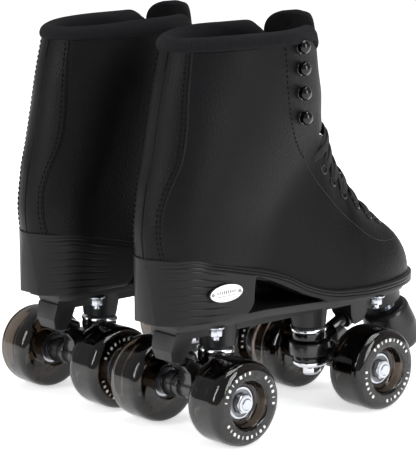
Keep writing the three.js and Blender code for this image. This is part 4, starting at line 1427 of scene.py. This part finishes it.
    def strand(self, low: float, high: float, sign: int, lift: float) -> Shape:
        """One lace run between eyelets.

        Args:
            low: the lower eyelet's station.
            high: the upper eyelet's station.
            sign: the side of the lower eyelet.
            lift: height over the surface in the middle.

        Returns:
            The ribbon.
        """
        t = np.linspace(0, 1, 25)
        s = blend(low, high, t)
        turns = blend(sign * self.eyelet_turn(low), -sign * self.eyelet_turn(high), t)
        height = -1.0 + (lift + 1.0) * np.sin(np.clip(t, 0, 1) * np.pi) ** 0.35
        surface = self.form.points(s, turns)
        normals = self.form.normals(surface)
        return self.ribbon(surface + normals * height[:, None], normals)

    def laces(self) -> None:
        """The crossed lace with a bar at its foot and its head."""
        strands = []
        for k in range(self.eyelet_pairs - 1):
            low, high = self.eyelet_station(k), self.eyelet_station(k + 1)
            strands.append(self.strand(low, high, 1, 1.9))
            strands.append(self.strand(low, high, -1, 3.2))
        for s in (self.eyelet_station(0), self.eyelet_station(self.eyelet_pairs - 1)):
            strands.append(self.strand(s, s + 1e-4, 1, 1.6))
        self.shop.place(
            gathered(strands), "woven_lace", Slot.LACE, "skate", ("laces",), smooth=60,
        )

    def eyelets(self) -> None:
        """The rolled metal eyelets."""
        rings = []
        r = self.eyelet_radius
        profile = rounded([(r * 0.55, -1.5), (r * 0.55, 0.75), (r * 0.8, 0.95), (r, 0.5),
                           (r, -0.3), (r * 0.55, -1.5)], 0.3, 2, closed=True)
        for k in range(self.eyelet_pairs):
            s = self.eyelet_station(k)
            for sign in (1, -1):
                at = self.form.points(np.array(s), np.array(sign * self.eyelet_turn(s)))
                frame_at = standing(at, self.form.normals(at), np.array([0, 1.0, 0]))
                rings.append(moved(spun(profile, 20), frame_at))
        self.shop.place(
            gathered(rings), "eyelets", Slot.BLACK_METAL, "skate",
            material=self.shop.shelf.enamel,
        )

    def hooks(self) -> None:
        """The domed lace hooks up the leg."""
        shapes = []
        r = self.hook_radius
        dome = [(0, 7.2), (r * 0.38, 6.9), (r * 0.71, 5.9), (r * 0.92, 4.6), (r, 3.1),
                (r * 0.9, 2.0), (r * 0.6, 1.3), (r * 0.5, 1.0), (r * 0.85, 0.8),
                (r * 0.98, 0.3), (r * 0.98, -0.6), (0, -0.6)]
        for y, z in self.hook_places:
            for sign in (1, -1):
                at = self.form.side_point(y, z) * [sign, 1, 1]
                normal = self.form.normals(at)
                frame_at = standing(self.form.splayed(at), normal, np.array([0, 0, 1.0]))
                shapes.append(moved(spun(rounded(dome, 0.6, 2), 28), frame_at))
        self.shop.place(
            gathered(shapes), "lace_hooks", Slot.BLACK_METAL, "skate",
            material=self.shop.shelf.enamel,
        )

    def insole(self) -> None:
        """The board in the boot's floor keeps its CAD shape."""
        self.shop.dress_cad("insole", Slot.BOARD)


# ------------------------------------------------------------------ sole


@dataclass
class Sole:
    """The moulded sole with its grooved heel, and the badge."""

    shop: Workshop
    form: BootForm
    gap: float = 0.3
    floor: float = 80.3
    groove: float = 0.55
    groove_half: float = 0.5
    groove_count: int = 7
    heel_taper: float = 2.2
    under: tuple = (
        (-112, 80.3), (-43, 80.3), (-38, 83.5), (-35.5, 88), (-35, 98), (-33, 104.7),
        (-18.5, 100.3), (-4, 93.5), (13, 86.1), (22.7, 83), (27, 80.3), (142, 80.3),
    )
    badge_y: float = -64
    badge_z: float = 99.5
    badge_size: tuple[float, float] = (28.6, 11.4)

    def build(self) -> None:
        """Makes the sole and its badge."""
        self.outsole()
        self.badge()

    def levels(self) -> list[tuple[float, float, float, float]]:
        """The wall's levels from top to bottom.

        Returns:
            For each, the drop below the top in millimetres, the share of what is left below
            that, and the depths of the long welt lines and of the heel's grooves.
        """
        rows = [(0, 0, 0.9, 0), (0.7, 0, 0, 0)]
        for at in (2.1, 4.3):
            rows += [(at - 0.35, 0, 0, 0), (at, 0, 0.5, 0), (at + 0.35, 0, 0, 0)]
        for k in range(self.groove_count):
            share = 0.06 + 0.8 * k / (self.groove_count - 1)
            width = self.groove_half / 38
            rows += [(5, share + side * width, 0, 0) for side in (-2, -1)]
            rows += [(5, share, 0, 1)]
            rows += [(5, share + side * width, 0, 0) for side in (1, 2)]
        rows += [(5, 0.96, 0, 0), (5, 1, 0.9, 0)]
        return rows

    def outsole(self) -> None:
        """The sole, as cross-sections from the heel to the toe tip."""
        under = Curve(*self.under)
        share = (1 - np.cos(np.linspace(0.02, math.pi - 0.02, 90))) / 2
        arch = (np.array([-44, -41, -39, -37.5, -36.4, -35.6, -35.1, -34.6, -33.8, -33]) + 109.5)
        share = np.unique(np.concatenate([share, arch / (self.form.toe_tip + 109.5)]))
        back, front = self.form.heel_back, self.form.toe_tip
        middle_y = blend(back, front, share)
        top = self.form.seam(middle_y) - self.gap
        bottom = under(middle_y)
        heel = 1 - smooth_step(-82, -48, middle_y)
        columns = []
        for drop, part, welt, groove in self.levels():
            fall = np.minimum(drop, (top - bottom) * 0.8)
            z = top - fall - part * (top - bottom - fall)
            taper = self.heel_taper * (1 - smooth_step(-60, 0, middle_y)) * part
            inset = np.minimum(welt + groove * self.groove * heel + taper, 3)
            y = blend(back + inset, front - inset, share)
            x = self.form.half_width(y, 0) - inset * (1 - np.abs(2 * share - 1) ** 6)
            columns.append((np.maximum(x, 0.4), y, z))
        right = [np.stack([self.form.centre(y) + x, y, z], axis=-1) for x, y, z in columns]
        left = [np.stack([self.form.centre(y) - x, y, z], axis=-1) for x, y, z in columns]
        loop = right + left[::-1]
        bm = sheet(np.stack(loop, axis=1), wrap=True, caps=True)
        bmesh.ops.recalc_face_normals(bm, faces=bm.faces)
        self.shop.place(bm, "moulded_sole", Slot.SOLE, "skate", ("outsole",), smooth=55)

    def badge(self) -> None:
        """The oval badge with a rim, two rivets and a line of plain engraved marks."""
        long, wide = self.badge_size
        bm = bmesh.new()
        bm.loops.layers.uv.new("UVMap")
        bmesh.ops.create_circle(bm, cap_ends=True, segments=64, radius=1)
        bmesh.ops.scale(bm, verts=bm.verts, vec=(wide / 2, long / 2, 1))
        face = bm.faces[:]
        grown = bmesh.ops.extrude_face_region(bm, geom=face)["geom"]
        bmesh.ops.translate(
            bm, verts=[v for v in grown if isinstance(v, bmesh.types.BMVert)], vec=(0, 0, 1.4)
        )
        bmesh.ops.recalc_face_normals(bm, faces=bm.faces)
        top = max(bm.faces, key=lambda f: f.calc_center_median().z)
        bmesh.ops.inset_individual(bm, faces=[top], thickness=0.45, depth=0)
        bmesh.ops.inset_individual(bm, faces=[top], thickness=0.3, depth=-0.3)
        place = crosswise(self.form.heel_half_width + self.gap, self.badge_y, self.badge_z, 1)
        self.shop.place(
            moved(bm, place), "oval_badge", Slot.BADGE, "skate", ("badge",), smooth=30,
        )
        marks = []
        for y in np.linspace(-7.6, 7.6, 9):
            mark = block((1.9 + 0.5 * math.cos(3 * y), 1.1, 0.3), 0.1, 1)
            marks.append(moved(mark, place @ Matrix.Translation((-0.6, y, 1.15))))
        for y in (-6, -2, 2, 6):
            line = block((0.5, 2.6, 0.3), 0.1, 1)
            marks.append(moved(line, place @ Matrix.Translation((2, y, 1.15))))
        for sign in (-1, 1):
            rivet = spun([(0, 0.9), (1.2, 0.9), (1.1, 1.5), (0.6, 1.75), (0, 1.8)], 16)
            bmesh.ops.holes_fill(rivet, edges=rivet.edges, sides=0)
            marks.append(moved(rivet, place @ Matrix.Translation((0, sign * 11.8, 0))))
        self.shop.place(
            gathered(marks), "badge_marks", Slot.BADGE, "skate",
            material=self.shop.shelf.engraved,
        )


# ------------------------------------------------------------------ plate and toe stop


@dataclass
class Chassis:
    """The plate with its bolts, and the toe stop."""

    shop: Workshop
    flange_bottom: float = 75
    boss_top: float = 67.5
    boss_foot: float = 50
    boss_middle: float = 85.5
    stop_y: float = 121.6
    stop_z: float = 58.2
    stop_tilt: float = 24.5
    stem_radius: float = 8
    stem_top: float = 15.6
    bolt_places: Points = ((21, -64), (-21, -64), (27, 84), (-27, 84))

    def build(self) -> None:
        """Makes the plate, its bolts and the toe stop."""
        plate = self.shop.from_cad("plate", 0.9)
        for vert in plate.verts:
            x, y, z = vert.co
            if 73 < abs(y) < 99 and abs(x) < 14 and z < self.boss_top:
                share = float(smooth_step(self.boss_top, self.boss_foot, z))
                middle = math.copysign(self.boss_middle, y)
                vert.co.x = x * (1 - 0.27 * share)
                vert.co.y = middle + (y - middle) * (1 - 0.12 * share)
        self.shop.place(plate, "nylon_plate", Slot.PLATE, "skate", ("plate",))
        self.bolts()
        self.toe_stop()

    def bolts(self) -> None:
        """The mounting bolts' flanged nuts under the plate."""
        shapes = []
        for x, y in self.bolt_places:
            at = Matrix.Translation((x, y, self.flange_bottom))
            flange = spun(rounded([(0, 0.3), (6.2, 0.3), (6.2, -0.7), (4.4, -1.8), (0, -1.8)],
                                  0.3, 2), 28)
            nut = prism(6, 4.5, -6.2, -1.5, 0.45)
            shank = spun(rounded([(0, -5), (2.4, -5), (2.4, -8.6), (1.9, -9.2), (0, -9.2)],
                                 0.2, 2), 16)
            shapes += [moved(shape, at) for shape in (flange, nut, shank)]
        self.shop.place(gathered(shapes), "plate_bolts", Slot.STEEL, "skate")

    def toe_stop(self) -> None:
        """The rubber stop with its stem."""
        lean = leaned(self.stop_tilt, self.stop_y, self.stop_z)
        hole = self.stem_radius + 0.3
        profile = rounded(
            [(0, -34), (15, -34), (18.7, -32.2), (20, -29), (19.2, -16), (17.4, -2.6), (15, 0),
             (hole + 1, 0), (hole, -0.6), (hole, -16.3), (0, -16.3)], 1.3, 4)
        self.shop.place(
            moved(spun(profile, 64), lean), "stop_rubber", Slot.RUBBER, "toe_stop_body",
            ("toe_stop",),
        )
        r = self.stem_radius
        stem = [(0, -16), (r, -16)]
        for k in range(30):
            z = -15 + k
            stem += [(r, z), (r - 0.6, z + 0.5)]
        stem += [(r, self.stem_top), (0, self.stem_top)]
        self.shop.place(
            moved(spun(stem, 40), lean), "stop_stem", Slot.STEEL, "toe_stop_body",
            ("toe_stop_stem",),
        )


# ------------------------------------------------------------------ trucks and wheels


@dataclass
class Truck:
    """One truck: hanger, kingpin stack, axle, wheels and bearings."""

    shop: Workshop
    end: End
    axle_y: float = 66
    axle_z: float = 29
    track: float = 80
    kingpin_y: float = 45.5
    yoke_z: float = 40
    kingpin_tilt: float = 4
    yoke_thickness: float = 9
    gap: float = 0.3
    cushion_radius: float = 12.5
    retainer_radius: float = 13
    kingpin_radius: float = 4
    nut_radius: float = 7.5
    wheel_half: float = 16
    recess_radius: float = 15.5
    recess_depth: float = 8
    inner_setback: float = 3
    bearing_radius: float = 11
    bearing_width: float = 7
    axle_radius: float = 4
    mark_radius: float = 21.6
    mark_groups: tuple = ((8, 0.0), (10, 2.1), (6, 4.6))
    mark_pitch: float = 0.19
    mark_lengths: tuple[float, ...] = (1.5, 0.6, 1.9)
    mark_height: float = 2.1
    mark_thickness: float = 0.16

    def build(self) -> None:
        """Makes every piece of the truck."""
        self.hanger()
        self.kingpin()
        self.cushions()
        self.axle()
        for word, sign in (("outer", 1), ("inner", -1)):
            if self.end is End.REAR:
                sign = -sign
            self.wheel(word, sign)
            self.bearings(word, sign)
        self.shop.dress_cad(f"{self.end.word}_pivot_cup", Slot.RUBBER)

    def put(self, shape: Shape, name: str, slot: Slot, body: str, *nodes: str,
            smooth: float = 35,
            material: bpy.types.Material | None = None) -> list[bpy.types.Object]:
        """Places a shape of this truck on both skates.

        Args:
            shape: the shape, made for the front truck.
            name: the piece's name after its end.
            slot: the slot whose finish it gets, where no material is given.
            body: the CAD body it rides on, or empty for none.
            nodes: the CAD nodes it stands for, after their end.
            smooth: edges under this angle in degrees are shaded smooth.
            material: its finish, where it isn't the slot's own.

        Returns:
            The right skate's piece and the left one's.
        """
        word = self.end.word
        return self.shop.place(
            shape, f"{word}_{name}", slot, body, [f"{word}_{node}" for node in nodes], self.end,
            smooth, material,
        )

    @property
    def on_kingpin(self) -> Matrix:
        """The yoke centre, with +Z up the kingpin."""
        return leaned(self.kingpin_tilt, self.kingpin_y, self.yoke_z)

    def hanger(self) -> None:
        """The cast hanger with flared ends on its axle tube."""
        body = self.shop.from_cad(f"{self.end.word}_truck", 0.8)
        if self.end is End.REAR:
            body.transform(Matrix.Rotation(-math.pi, 4, "Z"))
        shapes = [body]
        for sign in (-1, 1):
            flare = rounded([(4.4, 8), (7.8, 8), (8.2, 14), (9.2, 19), (9.2, 21.4), (8.2, 22),
                             (4.4, 22), (4.4, 8)], 0.8, 3, closed=True)
            shapes.append(moved(spun(flare, 40), crosswise(0, self.axle_y, self.axle_z, sign)))
        self.put(
            gathered(shapes), "cast_hanger", Slot.BLACK_METAL, f"{self.end.word}_truck_body",
            "truck",
        )

    def kingpin(self) -> None:
        """The kingpin with cup washers, a flange and a lock nut."""
        half = self.yoke_thickness / 2
        r = self.kingpin_radius
        low = -half - 2 * self.gap - 6
        high = half + 2 * self.gap + 9
        ring = self.retainer_radius
        shapes = []
        for seat, sign in ((low, -1), (high, 1)):
            cup = [(r, 0), (ring - 2, 0), (ring - 0.5, -1.6), (ring, -1.6), (ring, 0.2),
                   (ring - 1.6, 1.9), (r, 1.9), (r, 0)]
            cup = rounded([(a, seat + sign * b) for a, b in cup], 0.4, 3, closed=True)
            shapes.append(spun(cup, 48))
        shapes.append(prism(6, self.nut_radius, low - 7.4, low - 2, 0.6))
        shapes.append(spun(rounded([(0, low - 9), (r, low - 9), (r, 30), (0, 30)], 0.6, 2), 32))
        collar = [(r, high + 2), (9.6, high + 2), (9.6, high + 5.4), (8.6, high + 6.4),
                  (r, high + 6.4), (r, high + 2)]
        shapes.append(spun(collar, 40))
        shape = moved(gathered(shapes), self.on_kingpin)
        self.put(shape, "kingpin_stack", Slot.CHROME, "skate", "kingpin")
        insert = [(r, low - 8.8), (5.6, low - 8.8), (6.2, low - 7.4), (r, low - 7.4),
                  (r, low - 8.8)]
        self.put(
            moved(spun(insert, 32), self.on_kingpin), "kingpin_insert", Slot.CHROME, "skate",
            material=self.shop.shelf.nylon,
        )

    def cushions(self) -> None:
        """The two cushions, slightly barrelled."""
        half = self.yoke_thickness / 2 + self.gap
        bore = self.kingpin_radius + self.gap
        for word, sign, height in (("upper", 1, 9), ("lower", -1, 6)):
            r = self.cushion_radius
            profile = [(bore, 0), (r - 1.2, 0), (r - 0.3, height * 0.2), (r, height * 0.5),
                       (r - 0.3, height * 0.8), (r - 1.2, height), (bore, height), (bore, 0)]
            profile = rounded([(a, sign * (half + b)) for a, b in profile], 0.7, 3, closed=True)
            rings = self.put(
                moved(spun(profile, 48), self.on_kingpin), f"{word}_ring", Slot.CUSHION, "",
                f"{word}_cushion",
            )
            for ring, skate in zip(rings, self.shop.skates):
                turned = Matrix.Rotation(math.pi if self.end is End.REAR else 0, 4, "Z")
                matrix = skate.matrix() @ turned @ self.on_kingpin
                skate.node("skate")
                skate.node(f"{self.end.word}_truck_body")
                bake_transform(ring)

    def axle(self) -> None:
        """The axle rod, its washers and its lock nuts."""
        seat = self.track / 2 + self.wheel_half - self.recess_depth + self.gap
        end = self.track / 2 + self.wheel_half - 2
        r = self.axle_radius
        shapes, inserts = [], []
        rod = [(0, 0), (r, 0), (r, end - 0.6), (r - 0.6, end), (0, end)]
        for sign in (-1, 1):
            at = crosswise(0, self.axle_y, self.axle_z, sign)
            shapes.append(moved(spun(rod, 32), at))
            washer = [(r, seat), (6.6, seat), (6.6, seat + 0.9), (r, seat + 0.9), (r, seat)]
            shapes.append(moved(spun(washer, 32), at))
            shapes.append(moved(prism(6, 7.2, seat + 0.9, end - 2.4, 0.5), at))
            insert = [(r, end - 2.6), (6, end - 2.6), (5.7, end - 1.3), (r, end - 1),
                      (r, end - 2.6)]
            inserts.append(moved(spun(insert, 32), at))
        body = f"{self.end.word}_truck_body"
        self.put(gathered(shapes), "axle_and_nuts", Slot.STEEL, body, "axle")
        self.put(
            gathered(inserts), "axle_inserts", Slot.STEEL, body, material=self.shop.shelf.nylon,
        )

    def wheel(self, word: str, sign: int) -> None:
        """One wheel with a ring of pale marks on its outer face.

        Args:
            word: outer or inner.
            sign: the wheel's side along X in the front truck's frame.
        """
        half = self.wheel_half
        bore = self.bearing_radius + self.gap
        recess = half - self.recess_depth
        profile = rounded([
            (bore, self.inner_setback - half), (bore + 0.6, -half), (self.recess_radius, -half),
            (23.6, -half), (27, -14.4), (28.5, -11.5), (29, -8.4), (29, 8.4), (28.5, 11.5),
            (27, 14.4), (23.6, half), (17, half), (self.recess_radius, half - 1.6),
            (self.recess_radius - 1.2, recess + 1.4), (bore + 1.2, recess), (bore, recess),
            (bore, self.inner_setback - half),
        ], 1.6, 4, closed=True)
        at = crosswise(sign * self.track / 2, self.axle_y, self.axle_z, sign)
        body = f"{self.end.word}_{word}_wheel_body"
        self.put(
            moved(spun(profile, 96), at), f"{word}_tyre", Slot.URETHANE, body, f"{word}_wheel",
            smooth=40,
        )
        marks = []
        for count, start in self.mark_groups:
            for k in range(count):
                turn = start + k * self.mark_pitch
                long = self.mark_lengths[k % len(self.mark_lengths)]
                mark = block((self.mark_height, long, self.mark_thickness), 0, 1)
                spot = Matrix.Rotation(turn, 4, "Z") @ Matrix.Translation(
                    (self.mark_radius, 0, half - 0.01))
                marks.append(moved(mark, at @ spot))
        self.put(
            gathered(marks), f"{word}_wheel_marks", Slot.URETHANE, body,
            material=self.shop.shelf.marking,
        )

    def bearings(self, word: str, sign: int) -> None:
        """The wheel's two bearings with shields, and the spacer between them.

        Args:
            word: outer or inner.
            sign: the wheel's side along X in the front truck's frame.
        """
        half = self.wheel_half
        r = self.bearing_radius
        bore = self.axle_radius + 0.2
        outer_face = half - self.recess_depth
        inner_face = self.inner_setback - half
        at = crosswise(sign * self.track / 2, self.axle_y, self.axle_z, sign)
        races, shields = [], []
        for low in (inner_face, outer_face - self.bearing_width):
            high = low + self.bearing_width
            for a, b in ((9.2, r), (bore, 6.1)):
                section = [(a, low), (b, low), (b, high), (a, high), (a, low)]
                race = rounded(section, 0.4, 2, closed=True)
                races.append(moved(spun(race, 40), at))
            shield = [(6.1, low + 0.5), (9.2, low + 0.5), (9.2, high - 0.5), (7.6, high - 0.3),
                      (6.1, high - 0.5), (6.1, low + 0.5)]
            shields.append(moved(spun(shield, 40), at))
        spacer = [(bore, inner_face + 7), (6, inner_face + 7), (6, outer_face - 7),
                  (bore, outer_face - 7), (bore, inner_face + 7)]
        races.append(moved(spun(spacer, 32), at))
        body = f"{self.end.word}_{word}_wheel_body"
        self.put(gathered(races), f"{word}_races", Slot.STEEL, body, f"{word}_bearings")
        self.put(
            gathered(shields), f"{word}_shields", Slot.STEEL, body,
            material=self.shop.shelf.shield,
        )


# ------------------------------------------------------------------ studio


@dataclass
class Studio:
    """The camera, the lights and the floor."""

    camera_at: tuple[float, float, float] = (1.0099, -0.93173, 0.3754)
    target: tuple[float, float, float] = (-0.01225, -0.00543, 0.120)
    lens: float = 155.83
    sensor: float = 36
    floor_size: float = 30
    floor_glow: float = 0.62
    seen_level: float = 1.0
    world_level: float = 0.42

    def camera(self) -> None:
        """A long lens, level with the boots, from behind and to the right."""
        data = bpy.data.cameras.new("camera")
        data.lens = self.lens
        data.sensor_width = self.sensor
        data.sensor_height = self.sensor
        data.sensor_fit = "AUTO"
        data.clip_start = 0.01
        data.clip_end = 100
        camera = bpy.data.objects.new("camera", data)
        at, target = Vector(self.camera_at), Vector(self.target)
        turn = (target - at).to_track_quat("-Z", "Y")
        camera.matrix_world = Matrix.Translation(at) @ turn.to_matrix().to_4x4()
        bpy.context.scene.collection.objects.link(camera)
        bpy.context.scene.camera = camera

    def area(self, name: str, at: tuple[float, float, float], size: tuple[float, float],
             power: float) -> None:
        """A soft box that faces the pair.

        Args:
            name: the light's name.
            at: where it stands, in metres.
            size: its width and height, in metres.
            power: its power in watts.
        """
        data = bpy.data.lights.new(name, "AREA")
        data.shape = "RECTANGLE"
        data.size, data.size_y = size
        data.energy = power
        light = bpy.data.objects.new(name, data)
        turn = (Vector((0, 0, 0.12)) - Vector(at)).to_track_quat("-Z", "Y")
        light.matrix_world = Matrix.Translation(at) @ turn.to_matrix().to_4x4()
        bpy.context.scene.collection.objects.link(light)

    def build(self) -> None:
        """Lights the scene and lays the floor."""
        world = bpy.data.worlds.new("studio")
        bpy.context.scene.world = world
        world.use_nodes = True
        back = world.node_tree.nodes["Background"]
        back.inputs["Color"].default_value = (1, 1, 1, 1)
        make = Nodes(world.node_tree)
        seen = make.new("LightPath").outputs["Is Camera Ray"]
        strength = make.new("MapRange", Value=seen, To_Min=self.world_level,
                            To_Max=self.seen_level)
        make.link(strength.outputs[0], back.inputs["Strength"])
        self.area("side_softbox", (1.7, 0.2, 0.75), (0.6, 1.3), 20)
        self.area("back_softbox", (-0.3, -1.8, 0.9), (0.45, 1.2), 18)
        self.area("top_softbox", (0.1, 0.1, 1.9), (1.4, 1.4), 34)
        bm = bmesh.new()
        bmesh.ops.create_grid(bm, x_segments=1, y_segments=1, size=self.floor_size / 2)
        bmesh.ops.translate(bm, verts=bm.verts, vec=(0, 0, -0.0004))
        mesh = bpy.data.meshes.new("floor")
        bm.to_mesh(mesh)
        bm.free()
        floor = bpy.data.objects.new("floor", mesh)
        material = bpy.data.materials.new("pale_floor")
        material.use_nodes = True
        shader = material.node_tree.nodes["Principled BSDF"]
        shader.inputs["Base Color"].default_value = (0.93, 0.93, 0.93, 1)
        shader.inputs["Roughness"].default_value = 0.9
        shader.inputs["Emission Color"].default_value = (1, 1, 1, 1)
        shader.inputs["Emission Strength"].default_value = self.floor_glow
        mesh.materials.append(material)
        bpy.context.scene.collection.objects.link(floor)
        bpy.context.scene.view_settings.view_transform = "Standard"


def main() -> None:
    logging.basicConfig(level=logging.INFO, format="%(name)s: %(message)s")
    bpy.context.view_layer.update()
    studio = Studio()
    studio.camera()
    shop = Workshop(FinishShelf())
    form = BootForm()
    for assembly in (Boot(shop, form), Sole(shop, form), Chassis(shop)):
        assembly.build()
        LOG.info("finished %s", type(assembly).__name__.lower())
    for end in End:
        Truck(shop, end).build()
        LOG.info("finished %s truck", end.word)
    studio.build()


if __name__ == "__main__":
    main()
